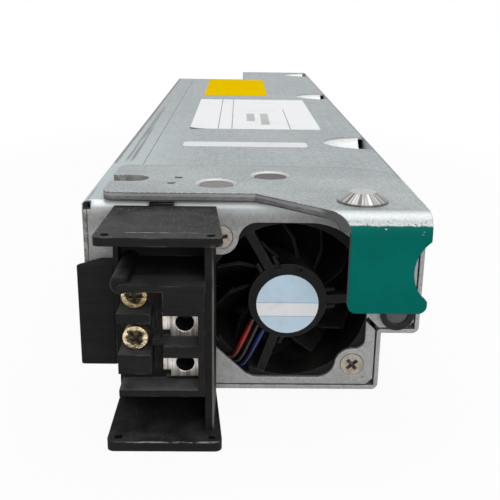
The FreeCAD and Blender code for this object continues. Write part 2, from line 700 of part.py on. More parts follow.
def strut(name, angle):
    """A flat arm from the motor base to the frame wall at an angle from +X towards +Z."""
    item = doc.addObject("Part::Box", name)
    bind(item, "Length", fan_bore + dim.fan_wall / 2)
    bind(item, "Width", dim.strut_depth)
    bind(item, "Height", dim.strut_width)
    item.Placement = FreeCAD.Placement(Vector(), Rotation(Vector(0, -1, 0), angle.value))
    lean = math.radians(angle.value)
    shift = dim.strut_width / 2
    low_x, low_z = fan_x + shift * math.sin(lean), fan_z - shift * math.cos(lean)
    place(item, (low_x, fan_front + dim.fan_label_thickness, low_z))
    return item


base_front = fan_front + dim.fan_label_thickness
motor_base = rod("motor_base", (fan_x, base_front, fan_z), "Y", dim.fan_base_radius, dim.fan_base_depth)
tube_length = dim.cup_start + dim.stator_length + 2 * dim.bearing_length
bearing_tube = rod("bearing_tube", (fan_x, base_front, fan_z), "Y", dim.bearing_tube_radius, tube_length)
bearing_seat = rod(
    "bearing_seat", (fan_x, base_front + dim.fan_base_depth, fan_z), "Y", dim.bearing_radius,
    tube_length,
)
struts = [strut("strut_0", dim.strut_right), strut("strut_1", dim.strut_up), strut("strut_2", dim.strut_down)]
fan_frame_raw = fuse("fan_frame_raw", [frame_tube, motor_base, bearing_tube] + struts)
base_slots = []
slot_inset = dim.fan_base_radius - dim.base_slot_height
for k, (lean, out) in enumerate(((-17.0, dim.fan_base_radius), (16.0, slot_inset))):
    slot_x = fan_x + out * math.sin(math.radians(lean)) - dim.base_slot / 2
    slot_z = fan_z + out * math.cos(math.radians(lean)) - dim.base_slot_height
    base_slots.append(box(
        f"base_slot_{k}", (slot_x, base_front - CUT, slot_z),
        (slot_x + dim.base_slot, base_front + dim.base_slot_depth, slot_z + dim.base_slot_height),
    ))
node(cut("fan_frame_cut", fan_frame_raw, [bearing_seat] + base_slots), "fan_frame")
fan_label = rod(
    "fan_label_disc", (fan_x, fan_front, fan_z - dim.fan_label_drop), "Y", dim.fan_label_radius,
    dim.fan_label_thickness,
)
node(fan_label, "fan_label")

seat_front = base_front + dim.fan_base_depth
seat_back = base_front + tube_length
bearing_starts = (seat_front, seat_back - dim.bearing_length)


def sleeve(name, y, outer, inner, length):
    """A ring on the fan axis from one depth along +Y."""
    drum = rod(f"{name}_drum", (fan_x, y, fan_z), "Y", outer, length)
    return cut(name, drum, [rod(f"{name}_bore", (fan_x, y - CUT, fan_z), "Y", inner, length + 2 * CUT)])


bearings = [
    sleeve(f"bearing_{k}", y, dim.bearing_radius, dim.shaft_radius + dim.shaft_fit, dim.bearing_length)
    for k, y in enumerate(bearing_starts)
]
node(group("bearing_set", bearings), "fan_bearings")
stator_start = base_front + dim.cup_start + dim.stator_gap
stator = sleeve("stator", stator_start, dim.stator_radius, dim.bearing_tube_radius, dim.stator_length)
node(stator, "fan_stator")

# Impeller: a cup with swept and twisted blades, turned on its own axis and then set on the fan axis
impeller_body = new_body("impeller_body")
cup = attach(impeller_body, "cup_section", "XZ_Plane", -dim.cup_length)
circle(cup, 0, 0, dim.cup_radius)
pad(impeller_body, cup, dim.cup_length)
blade_root = dim.cup_radius - dim.cup_wall - dim.blade_sink
blade_tip = fan_bore - dim.tip_gap


def blade_section(name, share):
    """A thin slanted outline across the blade at a share of its height, swept back and turned with it."""
    out = blade_root + (blade_tip - blade_root) * share
    sketch = attach(impeller_body, name, "YZ_Plane", out)
    slant = math.radians(dim.blade_pitch.value + dim.blade_turn.value * (0.5 - share))
    swept = out * math.tan(math.radians(dim.blade_sweep.value) * share ** 1.6)
    along_y, along_z = math.sin(slant), math.cos(slant)
    half_chord, half_thick = dim.blade_chord / 2, dim.blade_thickness / 2
    polygon(sketch, [
        (dim.cup_length / 2 + half_chord * (along_y * c) - half_thick * (along_z * t),
         swept + half_chord * (along_z * c) + half_thick * (along_y * t))
        for c, t in ((-1, -1), (1, -1), (1, 1), (-1, 1))
    ])
    return sketch


blade = impeller_body.newObject("PartDesign::AdditiveLoft", "blade")
blade.Profile = blade_section("blade_foot", 0.0)
blade.Sections = [blade_section("blade_middle", 0.55), blade_section("blade_end", 1.0)]
blade.Ruled = True
doc.recompute()
ring = impeller_body.newObject("PartDesign::PolarPattern", "blade_ring")
ring.Originals = [blade]
ring.Axis = ([f for f in impeller_body.Origin.OriginFeatures if f.Role == "Y_Axis"][0], [""])
ring.Angle = 360
bind(ring, "Occurrences", dim.blade_count)
impeller_body.Tip = ring
tip_trim = attach(impeller_body, "tip_trim", "XZ_Plane", 0)
circle(tip_trim, 0, 0, fan_half * 2)
circle(tip_trim, 0, 0, blade_tip)
pocket(impeller_body, tip_trim, dim.cup_length)
cup_room = attach(impeller_body, "cup_room", "XZ_Plane", 0)
circle(cup_room, 0, 0, dim.cup_radius - dim.cup_wall)
pocket(impeller_body, cup_room, dim.cup_length - 2 * dim.cup_wall)
shaft_bore = attach(impeller_body, "shaft_bore", "XZ_Plane", 0)
circle(shaft_bore, 0, 0, dim.shaft_radius)
pocket(impeller_body, shaft_bore, dim.cup_length + CUT)
cup_front = base_front + dim.cup_start
place(impeller_body, (fan_x, cup_front, fan_z))
node(impeller_body, "fan_impeller")
magnet_outer = dim.cup_radius - dim.cup_wall
magnet_start = cup_front + dim.magnet_gap
magnet = sleeve("magnet", magnet_start, magnet_outer, magnet_outer - dim.magnet_wall, dim.stator_length)
node(magnet, "fan_magnet")
shaft_start = seat_front + dim.shaft_end_gap
shaft_length = cup_front + dim.cup_length - shaft_start
node(rod("shaft_rod", (fan_x, shaft_start, fan_z), "Y", dim.shaft_radius, shaft_length), "fan_shaft")
node(group("fan_screw_set", [
    screw_tool(
        f"fan_screw_{k}", x, front, z, "Y", dim.fan_screw_radius, dim.fan_screw_head, dim.fan_screw_length,
    )
    for k, (x, z) in enumerate(fan_screw_places)
]), "fan_screws")

# Circuit board on standoffs, with an insulating film under it
board_front = front + dim.board_front
board_left = foot_inside + dim.board_side
board_right = right - sheet - dim.board_side
board_short = short_rear - sheet - dim.board_step_gap
board_end = rear - sheet - dim.board_step_gap
board_inner = step + sheet + dim.board_step_gap
film_outline = [
    (board_left, board_front), (board_right, board_front), (board_right, board_end),
    (board_inner, board_end), (board_inner, board_short), (board_left, board_short),
]
edge_end = rear + dim.edge_out
board_outline = film_outline[:3] + [
    (edge_right, board_end), (edge_right, edge_end), (edge_left, edge_end), (edge_left, board_end),
] + film_outline[3:]
standoff_places = [
    (x, y)
    for x in (board_left + dim.standoff_x, board_right - dim.standoff_x)
    for y in (board_front + dim.standoff_y, board_short - dim.standoff_y)
]


def flat_plate(name, outline, low, thickness, hole):
    """A plate with a round hole at each standoff."""
    body = new_body(f"{name}_body")
    sketch = attach(body, f"{name}_outline", "XY_Plane", low)
    polygon(sketch, outline)
    for x, y in standoff_places:
        circle(sketch, x, y, hole)
    pad(body, sketch, thickness)
    return body


board = flat_plate("board", board_outline, dim.board_height, dim.board_thickness, dim.standoff_hole)
node(board, "main_board")
film = flat_plate("film", film_outline, sheet * 2, dim.film_thickness, dim.standoff_radius)
node(film, "insulating_film")
standoffs = []
board_screws = []
for k, (x, y) in enumerate(standoff_places):
    low = sheet * 2 if k < 2 else sheet
    post = rod(f"post_{k}", (x, y, low), "Z", dim.standoff_radius, dim.board_height - low)
    bore = rod(f"post_bore_{k}", (x, y, sheet * 3), "Z", dim.standoff_hole, dim.board_height)
    standoffs.append(cut(f"standoff_{k}", post, [bore]))
    stem = rod(f"board_stem_{k}", (x, y, sheet * 3), "Z", dim.standoff_hole, board_top - sheet * 3)
    head = rod(f"board_head_{k}", (x, y, board_top), "Z", dim.board_screw_head, dim.board_screw_height)
    board_screws.append(fuse(f"board_screw_{k}", [stem, head]))
node(group("standoff_set", standoffs), "board_standoffs")
node(group("board_screw_set", board_screws), "board_screws")
contacts = []
for k in range(7):
    contact_left = edge_left + dim.contact_first + dim.contact_pitch * k
    for side, low in (("under", dim.board_height - dim.contact_thickness), ("over", board_top)):
        contacts.append(box(
            f"contact_{side}_{k}", (contact_left, edge_end - dim.contact_length, low),
            (contact_left + dim.contact_width, edge_end, low + dim.contact_thickness),
        ))
node(group("contact_set", contacts), "edge_contacts")

# Fan leads: from the motor base through the frame notch, along the face and back to the plug on the board
plug_front = board_front + dim.standoff_y + dim.board_screw_head * 2
plug_low = board_top + dim.header_height
lead_y = fan_front + dim.lead_in
plug_first_x = frame_left - dim.lead_side


def lead_route(order, angle):
    """The corners of one lead's path, in order from the motor base to the plug."""
    lean = math.radians(angle)
    z_exit = dim.lead_low.value + dim.lead_pitch.value * (2 - order)
    x_back = plug_first_x.value - dim.plug_pitch.value * order
    reach = dim.fan_base_radius.value + dim.lead_clear.value
    plug_z = plug_low.value + dim.plug_height.value / 2
    lead_shift = dim.lead_step.value * (1 - order)
    notch_x = frame_left.value + dim.notch_width.value * dim.lead_share.value - lead_shift
    return [
        Vector(fan_x.value + reach * math.cos(lean), lead_y.value, fan_z.value + reach * math.sin(lean)),
        Vector(notch_x, lead_y.value, z_exit),
        Vector(x_back, lead_y.value, z_exit),
        Vector(x_back, plug_front.value - dim.lead_run.value, plug_z),
        Vector(x_back, plug_front.value, plug_z),
    ]


def lead_tube(name, points, radius):
    """A lead along straight runs joined by tangent arcs, drawn with eight flats round its sleeve."""
    edges = []
    at = points[0]
    for before, bend_point, after in zip(points, points[1:], points[2:]):
        back = before - bend_point
        ahead = after - bend_point
        trim = min(0.45 * back.Length, 0.45 * ahead.Length, dim.lead_bend.value)
        unit_back = Vector(back).normalize()
        unit_ahead = Vector(ahead).normalize()
        half = unit_back.getAngle(unit_ahead) / 2
        inward = (unit_back + unit_ahead).normalize()
        centre = bend_point + inward * (trim / math.cos(half))
        arc_start = bend_point + unit_back * trim
        arc_end = bend_point + unit_ahead * trim
        edges.append(Part.LineSegment(at, arc_start).toShape())
        middle = centre - inward * (trim * math.tan(half))
        edges.append(Part.Arc(arc_start, middle, arc_end).toShape())
        at = arc_end
    edges.append(Part.LineSegment(at, points[-1]).toShape())
    path = Part.Wire(edges)
    level = Vector(0, 1, 0)
    upright = Vector(points[1] - points[0]).normalize().cross(level)
    corners = []
    for k in range(9):
        turn = math.radians(45.0 * k)
        corners.append(points[0] + level * (radius * math.cos(turn)) + upright * (radius * math.sin(turn)))
    ring_wire = Part.makePolygon(corners)
    tube = path.makePipeShell([ring_wire], True, False)
    expected = 2 * math.sqrt(2) * radius ** 2 * path.Length
    if abs(tube.Volume - expected) > 0.02 * expected:
        raise RuntimeError(f"{name} is not a whole tube")
    item = doc.addObject("Part::Feature", name)
    item.Shape = tube
    item.Placement = FreeCAD.Placement()
    return item


LEAD_ANGLES = {"fan_lead_red": 212.0, "fan_lead_black": 223.0, "fan_lead_blue": 235.0}
for order, (label, angle) in enumerate(LEAD_ANGLES.items()):
    node(lead_tube(f"{label}_tube", lead_route(order, angle), dim.lead_radius.value), label)
plug_right = plug_first_x + dim.plug_margin
plug_left = plug_right - dim.plug_width
plug_back = plug_front + dim.plug_depth
plug_high = plug_low + dim.plug_height
node(box("plug_block", (plug_left, plug_front, plug_low), (plug_right, plug_back, plug_high)), "fan_plug")
node(box("header_block", (plug_left, plug_front, board_top), (plug_right, plug_back, plug_low)), "fan_header")

# Poles of the terminal block: a clamp with a wire bore, an arm, a link and a plate for the screw
clamp_left = left + dim.clamp_left
clamp_right = clamp_left + dim.clamp_width
clamp_front = front - dim.clamp_reach
clamp_back = clamp_front + dim.clamp_depth
bore_x = clamp_left + dim.clamp_width / 2
screw_x = left + dim.screw_in
screw_right = block_left + dim.screw_column
slot_right = screw_right + dim.slot_width
head_back = front - dim.recess_reach
head_front = head_back - dim.screw_head_height
plate_front = head_back + dim.screw_axial_gap
plate_back = plate_front + dim.pole_plate
tail_left = clamp_left + dim.tail_inset
tail_right = clamp_right - dim.tail_inset
boss_back = face_back + dim.boss_depth
bars = []
for k, label in enumerate(("upper", "lower")):
    low = dim.clamp_low - dim.pole_pitch * k
    screw_z = dim.screw_height - dim.pole_pitch * k
    arm_low = low + dim.arm_rise
    arm_high = arm_low + dim.arm_height
    arm_left = clamp_left - dim.arm_reach
    link_high = arm_low + dim.link_height
    clamp_high = low + dim.clamp_height
    tail_high = low + dim.clamp_height / 2
    metal = [
        box(f"{label}_clamp", (clamp_left, clamp_front, low), (clamp_right, clamp_back, clamp_high)),
        box(f"{label}_arm", (arm_left, clamp_front, arm_low), (clamp_left, plate_back, arm_high)),
        box(f"{label}_link", (screw_right, plate_front, arm_low), (arm_left, plate_back, link_high)),
        box(
            f"{label}_plate", (screw_x - dim.screw_head_radius, plate_front, screw_z - dim.screw_head_radius),
            (screw_right, plate_back, link_high),
        ),
        box(
            f"{label}_tail", (tail_left, clamp_back, tail_high - dim.busbar_thickness),
            (tail_right, boss_back + dim.tail_out, tail_high),
        ),
    ]
    bore = rod(
        f"{label}_bore", (bore_x, clamp_front - CUT, low + dim.clamp_bore_rise), "Y", dim.clamp_bore,
        dim.clamp_bore_depth + CUT,
    )
    thread = rod(
        f"{label}_thread", (screw_x, plate_front - CUT, screw_z), "Y", dim.screw_shank + dim.shaft_fit,
        dim.pole_plate + 2 * CUT,
    )
    bar = cut(f"{label}_bar", fuse(f"{label}_bar_raw", metal), [bore, thread])
    node(bar, f"{label}_pole_bar")
    bars.append(bar)
    head = rod(
        f"{label}_head", (screw_x, head_front, screw_z), "Y", dim.screw_head_radius, dim.screw_head_height,
    )
    shank = rod(f"{label}_shank", (screw_x, head_back, screw_z), "Y", dim.screw_shank, dim.screw_length)
    half_slot = dim.screw_slot / 2
    cross = [
        box(
            f"{label}_cross_{n}", (screw_x - dx, head_front - CUT, screw_z - dz),
            (screw_x + dx, head_front + dim.screw_slot_depth, screw_z + dz),
        )
        for n, (dx, dz) in enumerate(((dim.screw_slot_reach, half_slot), (half_slot, dim.screw_slot_reach)))
    ]
    screw = cut(f"{label}_screw", fuse(f"{label}_screw_raw", [head, shank]), cross)
    node(screw, f"{label}_terminal_screw")

# Terminal housing: two guard plates joined by a wall, with the pole block between them
plate_left = left + dim.plate_left
plate_right = plate_left + dim.plate_width
wall_right = plate_right - dim.guard_wall_in
wall_left = wall_right - dim.guard_wall
rib_left = plate_left + dim.rib_in
rib_right = rib_left + dim.rib_width


lower_high = -dim.lower_plate_drop
lower_low = lower_high - dim.lower_plate_thickness


def guard_plate(name, low, high, reach, flare):
    """A flat plate that widens out from the face, with round front corners and two pin holes."""
    lip = front - reach
    lip_left = plate_left - flare
    body = new_body(f"{name}_body")
    outline = attach(body, f"{name}_outline", "XY_Plane", low)
    polygon(outline, [(lip_left, lip), (plate_right, lip), (wall_right, front), (plate_left, front)])
    pad(body, outline, high - low)
    corners = (along("Z", lip_left, lip), along("Z", plate_right, lip))
    soft = rounded(f"{name}_soft", body, dim.plate_corner, *corners)
    holes = [
        rod(
            f"{name}_hole_{k}", (x, lip + dim.pin_hole_back, low - CUT), "Z", dim.pin_hole,
            high - low + 2 * CUT,
        )
        for k, x in enumerate((lip_left + dim.pin_hole_side, plate_right - dim.pin_hole_side))
    ]
    return cut(name, soft, holes)


block_front = front - dim.block_reach
pole_block = box("pole_block", (block_left, block_front, dim.block_bottom), (wall_left, front, dim.block_top))
housing_parts = [
    guard_plate("upper_plate", upper_low, upper_high, dim.upper_plate_reach, dim.plate_flare),
    guard_plate("lower_plate", lower_low, lower_high, dim.lower_plate_reach, as_size(0)),
    box("guard_wall", (wall_left, front - dim.guard_wall_reach, lower_high), (wall_right, front, upper_low)),
    box("left_rib", (rib_left, front - dim.rib_reach, dim.block_bottom), (rib_right, front, upper_low)),
    box("back_sheet", (rib_left, front - dim.back_plate, lower_high), (wall_right, front, upper_low)),
    rounded("pole_block_soft", pole_block, dim.block_round, along("Y", block_left, dim.block_top)),
    box(
        "rear_boss", (block_left + dim.back_plate, front, dim.toe_low),
        (block_right - dim.back_plate, boss_back, dim.block_top - dim.back_plate),
    ),
    box("hook", (hook_left, front - CUT, upper_low), (hook_right, front + sheet / 2, top + dim.hook_rise)),
]
mouth_front = block_front - CUT
outside_left = block_left - CUT
room = [
    box(
        "upper_recess", (outside_left, mouth_front, dim.upper_recess_low),
        (screw_right, plate_front, dim.upper_recess_high),
    ),
    box(
        "lower_recess", (outside_left, mouth_front, dim.lower_recess_low),
        (screw_right, plate_front, dim.lower_recess_high),
    ),
    box("toe", (outside_left, mouth_front, dim.toe_low), (screw_right, plate_front, dim.toe_high)),
    box("upper_slot", (screw_right, mouth_front, dim.bridge_low + dim.bridge_height), (
        slot_right, plate_front, dim.upper_recess_high,
    )),
    box("lower_slot", (screw_right, mouth_front, dim.toe_low), (slot_right, plate_front, dim.bridge_low)),
    box("bridge_front", (screw_right, mouth_front, dim.toe_low), (
        slot_right, block_front + dim.bridge_in, dim.upper_recess_high,
    )),
]
for k, label in enumerate(("upper", "lower")):
    low = dim.clamp_low - dim.pole_pitch * k
    screw_z = dim.screw_height - dim.pole_pitch * k
    high = low + dim.clamp_height
    mouth_left = slot_right - CUT
    mouth_low = low if k == 0 else dim.toe_low
    room.append(box(f"{label}_mouth", (mouth_left, mouth_front, mouth_low), (clamp_right, clamp_front, high)))
    room.append(box(f"{label}_side", (mouth_left, clamp_front - CUT, low), (clamp_left, plate_front, high)))
    room.append(rod(
        f"{label}_counterbore", (screw_x, block_front + dim.lip_depth, screw_z), "Y",
        dim.screw_head_radius + dim.screw_room, plate_front - block_front - dim.lip_depth,
    ))
    room.append(rod(
        f"{label}_wire_way", (bore_x, clamp_front - CUT, low + dim.clamp_bore_rise), "Y", dim.clamp_bore,
        dim.clamp_bore_depth + CUT,
    ))
    room.append(rod(
        f"{label}_screw_way", (screw_x, plate_front, screw_z), "Y", dim.screw_shank + dim.screw_room,
        dim.screw_length + CUT,
    ))
node(cut("housing_cut", fuse("housing_raw", housing_parts), bars + room), "terminal_housing")

# Side guard: a moulded cap beside the block, pegged through the face
guard_left = left - dim.side_guard_out
guard_front = front - dim.side_guard_reach
guard_block = box(
    "guard_block", (guard_left, guard_front, dim.side_guard_low), (rib_left, front, dim.side_guard_high),
)
guard_cap = rounded(
    "guard_cap", guard_block, dim.side_guard_round,
    along("X", guard_front, dim.side_guard_low), along("X", guard_front, dim.side_guard_high),
    along("Z", guard_left, guard_front),
)
guard_peg = rod("guard_peg", (peg_x, front - CUT, peg_z), "Y", dim.peg_radius, sheet + CUT * 2)
node(fuse("guard_whole", [guard_cap, guard_peg]), "side_guard")

# Copper bars that lie under the tails of the poles and stand on the board
for k, (label, foot) in enumerate((("upper", dim.upper_busbar_foot), ("lower", dim.lower_busbar_foot))):
    rail_high = dim.clamp_low - dim.pole_pitch * k + dim.clamp_height / 2 - dim.busbar_thickness
    rail_low = rail_high - dim.busbar_thickness
    foot_back = front + foot
    foot_front = foot_back - dim.busbar_thickness
    bus_body = new_body(f"{label}_bus_body")
    profile = attach(bus_body, f"{label}_bus_profile", "YZ_Plane", tail_left)
    polygon(profile, [
        (boss_back, rail_high), (foot_back, rail_high), (foot_back, board_top), (foot_front, board_top),
        (foot_front, rail_low), (boss_back, rail_low),
    ])
    pad(bus_body, profile, tail_right - tail_left)
    node(bus_body, f"{label}_busbar")

# Ejector lever: a plate on the top of the case with a hook slot, two dishes and a tab bent down in front
lever_left = left + dim.lever_left
lever_right = lever_left + dim.lever_width
lever_front = front - dim.lever_front
lever_back = front + dim.lever_back
kink = left + dim.lever_kink
tab_left = left + dim.tab_left
tab_front = front - dim.tab_reach
tab_back = tab_front + dim.lever_thickness
tab_bottom = top - dim.tab_drop
bend_y = tab_front + dim.bend_outer
bend_z = lever_top - dim.bend_outer
bend_left = kink + (tab_left - kink) * ((lever_front - bend_y) / (lever_front - tab_front))
plate_body = new_body("plate_body")
plan = attach(plate_body, "lever_plan", "XY_Plane", lever_low)
polygon(plan, [
    (lever_left, lever_front), (kink, lever_front), (bend_left, bend_y), (lever_right, bend_y),
    (lever_right, lever_back), (lever_left, lever_back),
])
pad(plate_body, plan, dim.lever_thickness)
plate_large = rounded("plate_large", plate_body, dim.lever_round, along("Z", lever_right, lever_back))
plate_soft = rounded(
    "plate_soft", plate_large, dim.lever_small_round,
    along("Z", lever_left, lever_front), along("Z", lever_left, lever_back),
)
bend_outside = rod("bend_outside", (bend_left, bend_y, bend_z), "X", dim.bend_outer, lever_right - bend_left)
bend_inside = rod(
    "bend_inside", (bend_left - CUT, bend_y, bend_z), "X", dim.bend_outer - dim.lever_thickness,
    lever_right - bend_left + 2 * CUT,
)
bend_tube = cut("bend_tube", bend_outside, [bend_inside])
bend_quarter = box("bend_quarter", (bend_left, tab_front, bend_z), (lever_right, bend_y, lever_top))
bend = common("bend", bend_tube, bend_quarter)
wedge_body = new_body("wedge_body")
wedge = attach(wedge_body, "wedge_plan", "XY_Plane", bend_z - CUT)
polygon(wedge, [
    (bend_left - CUT, tab_front - CUT), (tab_left, tab_front - CUT), (tab_left, tab_front),
    (bend_left, bend_y), (bend_left - CUT, bend_y),
])
pad(wedge_body, wedge, dim.bend_outer + 2 * CUT)
bend_trimmed = cut("bend_trimmed", bend, [wedge_body])
tab_block = box("tab_block", (tab_left, tab_front, tab_bottom), (lever_right, tab_back, bend_z))
tab_soft = rounded(
    "tab_soft", tab_block, dim.tab_round,
    along("Y", tab_left, tab_bottom), along("Y", lever_right, tab_bottom),
)
lever_raw = fuse("lever_raw", [plate_soft, bend_trimmed, tab_soft])
finger = rod(
    "finger", (lever_right - dim.finger_depth + dim.finger_radius, tab_front - CUT,
    top - dim.finger_drop),
    "Y", dim.finger_radius, dim.lever_thickness + 2 * CUT,
)
slot_y = front + dim.hook_slot_centre
slot_round = dim.hook_slot_breadth / 2
slot_end = lever_left + dim.hook_slot_length - slot_round
hook_slot = box(
    "hook_slot", (lever_left - CUT, slot_y - slot_round, lever_low - CUT),
    (slot_end, slot_y + slot_round, lever_top + CUT),
)
through = dim.lever_thickness + 2 * CUT
hook_slot_end = rod("hook_slot_end", (slot_end, slot_y, lever_low - CUT), "Z", slot_round, through)
glide_x = left + dim.glide_x
glide_y = front + dim.glide_y
stud_x = left + dim.stud_x
stud_y = lever_front - dim.stud_y + dim.lever_front
dish_low = lever_top - dim.dish_depth
pivot_hole = rod(
    "pivot_hole", (pivot_x, pivot_y, lever_low - CUT), "Z", dim.rivet_radius + dim.rivet_fit, through,
)
glide_hole = rod("glide_hole", (glide_x, glide_y, lever_low - CUT), "Z", dim.rivet_radius, through)
stud_hole = rod("stud_hole", (stud_x, stud_y, lever_low - CUT), "Z", dim.stud_shank, through)
dishes = [
    taper(f"dish_{k}", (x, y, dish_low), "Z", dim.dish_floor, dim.dish_radius, dim.dish_depth)
    for k, (x, y) in enumerate(((pivot_x, pivot_y), (glide_x, glide_y)))
]
small_holes = [
    rod(f"small_hole_{k}", (left + x, front + y, lever_low - CUT), "Z", dim.small_hole, through)
    for k, (x, y) in enumerate((
        (dim.small_hole_a_x, dim.small_hole_a_y), (dim.small_hole_b_x, dim.small_hole_b_y),
    ))
]
lever = cut("lever_cut", lever_raw, [
    finger, hook_slot, hook_slot_end, pivot_hole, glide_hole, stud_hole,
] + dishes + small_holes)
node(lever, "eject_lever")

# Pivot: a rivet set in the top of the case, with a washer that carries the lever
rivet_foot = top - sheet - dim.rivet_tail_height
head_low = dish_low + dim.rivet_gap
node(fuse("pivot_whole", [
    rod("pivot_tail", (pivot_x, pivot_y, rivet_foot), "Z", dim.rivet_tail, dim.rivet_tail_height),
    rod("pivot_shank", (pivot_x, pivot_y, rivet_foot), "Z", dim.rivet_radius, head_low - rivet_foot),
    rod("pivot_head", (pivot_x, pivot_y, head_low), "Z", dim.rivet_head, dim.rivet_head_height),
]), "pivot_rivet")
washer_height = dim.lever_gap - dim.rivet_gap
node(cut("washer", rod("washer_disc", (pivot_x, pivot_y, top), "Z", dim.washer_radius, washer_height), [
    rod("washer_hole", (pivot_x, pivot_y, top - CUT), "Z", dim.rivet_radius, washer_height + 2 * CUT),
]), "pivot_washer")
node(fuse("glide_whole", [
    rod("glide_foot", (glide_x, glide_y, top + dim.rivet_gap), "Z", dim.glide_radius, washer_height),
    rod("glide_shank", (glide_x, glide_y, top + dim.rivet_gap), "Z", dim.rivet_radius, dish_low - top),
    rod("glide_head", (glide_x, glide_y, dish_low), "Z", dim.rivet_head, dim.rivet_head_height),
]), "glide_rivet")
node(fuse("stud_whole", [
    rod(
        "stud_foot", (stud_x, stud_y, lever_low - dim.stud_tail_height), "Z", dim.stud_tail,
        dim.stud_tail_height,
    ),
    rod(
        "stud_shank", (stud_x, stud_y, lever_low - CUT / 4), "Z", dim.stud_shank,
        dim.lever_thickness + CUT / 2,
    ),
    rod("stud_ring", (stud_x, stud_y, lever_top), "Z", dim.stud_base, dim.stud_rim),
    taper(
        "stud_cone", (stud_x, stud_y, lever_top + dim.stud_rim), "Z", dim.stud_base, dim.stud_top,
        dim.stud_height - dim.stud_rim,
    ),
]), "lever_stud")

# Status lamp in a snap-in holder
flange_front = front - dim.lamp_flange_height
lamp_back = flange_front + dim.lamp_set_back + dim.lamp_length
holder = fuse("holder_raw", [
    rod("holder_flange", (lamp_x, flange_front, dim.lamp_z), "Y", dim.lamp_flange, dim.lamp_flange_height),
    rod("holder_barrel", (lamp_x, flange_front, dim.lamp_z), "Y", dim.lamp_barrel, dim.lamp_barrel_length),
])
holder_bore = rod(
    "holder_bore", (lamp_x, flange_front - CUT, dim.lamp_z), "Y", dim.lamp_radius,
    dim.lamp_barrel_length + 2 * CUT,
)
node(cut("holder", holder, [holder_bore]), "lamp_holder")
node(rod(
    "lamp", (lamp_x, flange_front + dim.lamp_set_back, dim.lamp_z), "Y", dim.lamp_radius,
    dim.lamp_length,
), "status_lamp")

# Power stages on the board, front to rear


lane = board_short - board_front
sink_length = lane * dim.sink_share


def ring_coil(name, x, y):
    """A wound ring lying flat on the board, its edges eased."""
    edge = dim.choke_edge
    slim = dim.choke_outer - edge
    upper = board_top + dim.choke_height - edge
    drum = fuse(f"{name}_drum", [
        taper(f"{name}_under", (x, y, board_top), "Z", slim, dim.choke_outer, edge),
        rod(f"{name}_side", (x, y, board_top + edge), "Z", dim.choke_outer, dim.choke_height - 2 * edge),
        taper(f"{name}_over", (x, y, upper), "Z", dim.choke_outer, slim, edge),
    ])
    eye = rod(f"{name}_eye", (x, y, board_top - CUT), "Z", dim.choke_inner, dim.choke_height + 2 * CUT)
    return cut(name, drum, [eye])


def heat_sink(name, base_low, base_high, fin_end, y):
    """A comb of flat fins on an upright base, drawn along the case."""
    body = new_body(f"{name}_body")
    sketch = attach(body, f"{name}_comb", "XZ_Plane", -y)
    near, far = (base_high, base_low) if fin_end.value > base_high.value else (base_low, base_high)
    points = [(far, board_top), (near, board_top)]
    for k in range(5):
        high = board_top + dim.fin_pitch * (k + 1)
        low = high - dim.fin_thickness
        points += [(near, low), (fin_end, low), (fin_end, high), (near, high)]
    points += [(near, board_top + dim.sink_height), (far, board_top + dim.sink_height)]
    polygon(sketch, points)
    pad(body, sketch, sink_length, flip=True)
    return body


def row_of_chips(name, low_x, sink_start):
    """Four power packages in a row on a heat sink."""
    chips = []
    for k in range(4):
        y = sink_start + dim.transistor_first + dim.transistor_pitch * k
        low = board_top + dim.transistor_lift
        chips.append(box(
            f"{name}_{k}", (low_x, y, low),
            (low_x + dim.transistor_thickness, y + dim.transistor_width, low + dim.transistor_height),
        ))
    return group(name, chips)


input_ring = ring_coil("input_ring", board_right - dim.input_ring_in, board_front + dim.input_ring_y)
node(input_ring, "input_choke")
input_cap_x = board_right - dim.input_cap_in
input_cap_y = board_front + dim.input_cap_y
node(group("input_cap_set", [
    rod(
        f"input_cap_{k}", (input_cap_x, input_cap_y + dim.cap_pitch * k, board_top), "Z", dim.cap_radius,
        dim.cap_height,
    )
    for k in range(3)
]), "input_capacitors")
sink_x = board_left + dim.primary_sink_in
sink_y = board_front + lane * dim.primary_share
sink_face = sink_x + dim.sink_base
primary_sink = heat_sink("primary_sink", sink_x, sink_face, sink_x - dim.fin_depth, sink_y)
node(primary_sink, "primary_heat_sink")
node(row_of_chips("switch", sink_face, sink_y), "power_transistors")
second_x = board_right - dim.second_sink_in
diode_left = second_x - dim.transistor_thickness
core_x = board_left + dim.core_in
core_right = diode_left - dim.core_gap - dim.winding_out
core_y = board_front + lane * dim.core_share
core_back = core_y + dim.core_length
core_low = board_top + dim.winding_out
window_low = core_low + dim.core_yoke
window_high = core_low + dim.core_height - dim.core_yoke
leg_start = core_y + (dim.core_length - dim.core_leg) / 2
leg_end = leg_start + dim.core_leg
core_block = box(
    "core_block", (core_x, core_y, core_low), (core_right, core_back, core_low + dim.core_height),
)
windows = [
    box(
        "window_front", (core_x - CUT, core_y + dim.core_leg, window_low),
        (core_right + CUT, leg_start, window_high),
    ),
    box(
        "window_back", (core_x - CUT, leg_end, window_low),
        (core_right + CUT, core_back - dim.core_leg, window_high),
    ),
]
node(cut("core_cut", core_block, windows), "transformer_core")
winding_block = box(
    "winding_block", (core_x - dim.winding_out, core_y + dim.core_leg, window_low),
    (core_right + dim.winding_out, core_back - dim.core_leg, window_high),
)
winding_bore = box(
    "winding_bore", (core_x, leg_start, window_low - CUT), (core_right, leg_end, window_high + CUT),
)
winding = cut("winding", winding_block, [winding_bore])
winding_feet = [
    box(f"winding_foot_{k}", (x, leg_start, board_top), (x + dim.winding_out, leg_end, window_low))
    for k, x in enumerate((core_x - dim.winding_out, core_right))
]
node(fuse("winding_whole", [winding] + winding_feet), "transformer_winding")
second_y = board_front + lane * dim.second_share
second_face = second_x + dim.sink_base
second_sink = heat_sink("second_sink", second_x, second_face, second_face + dim.fin_depth, second_y)
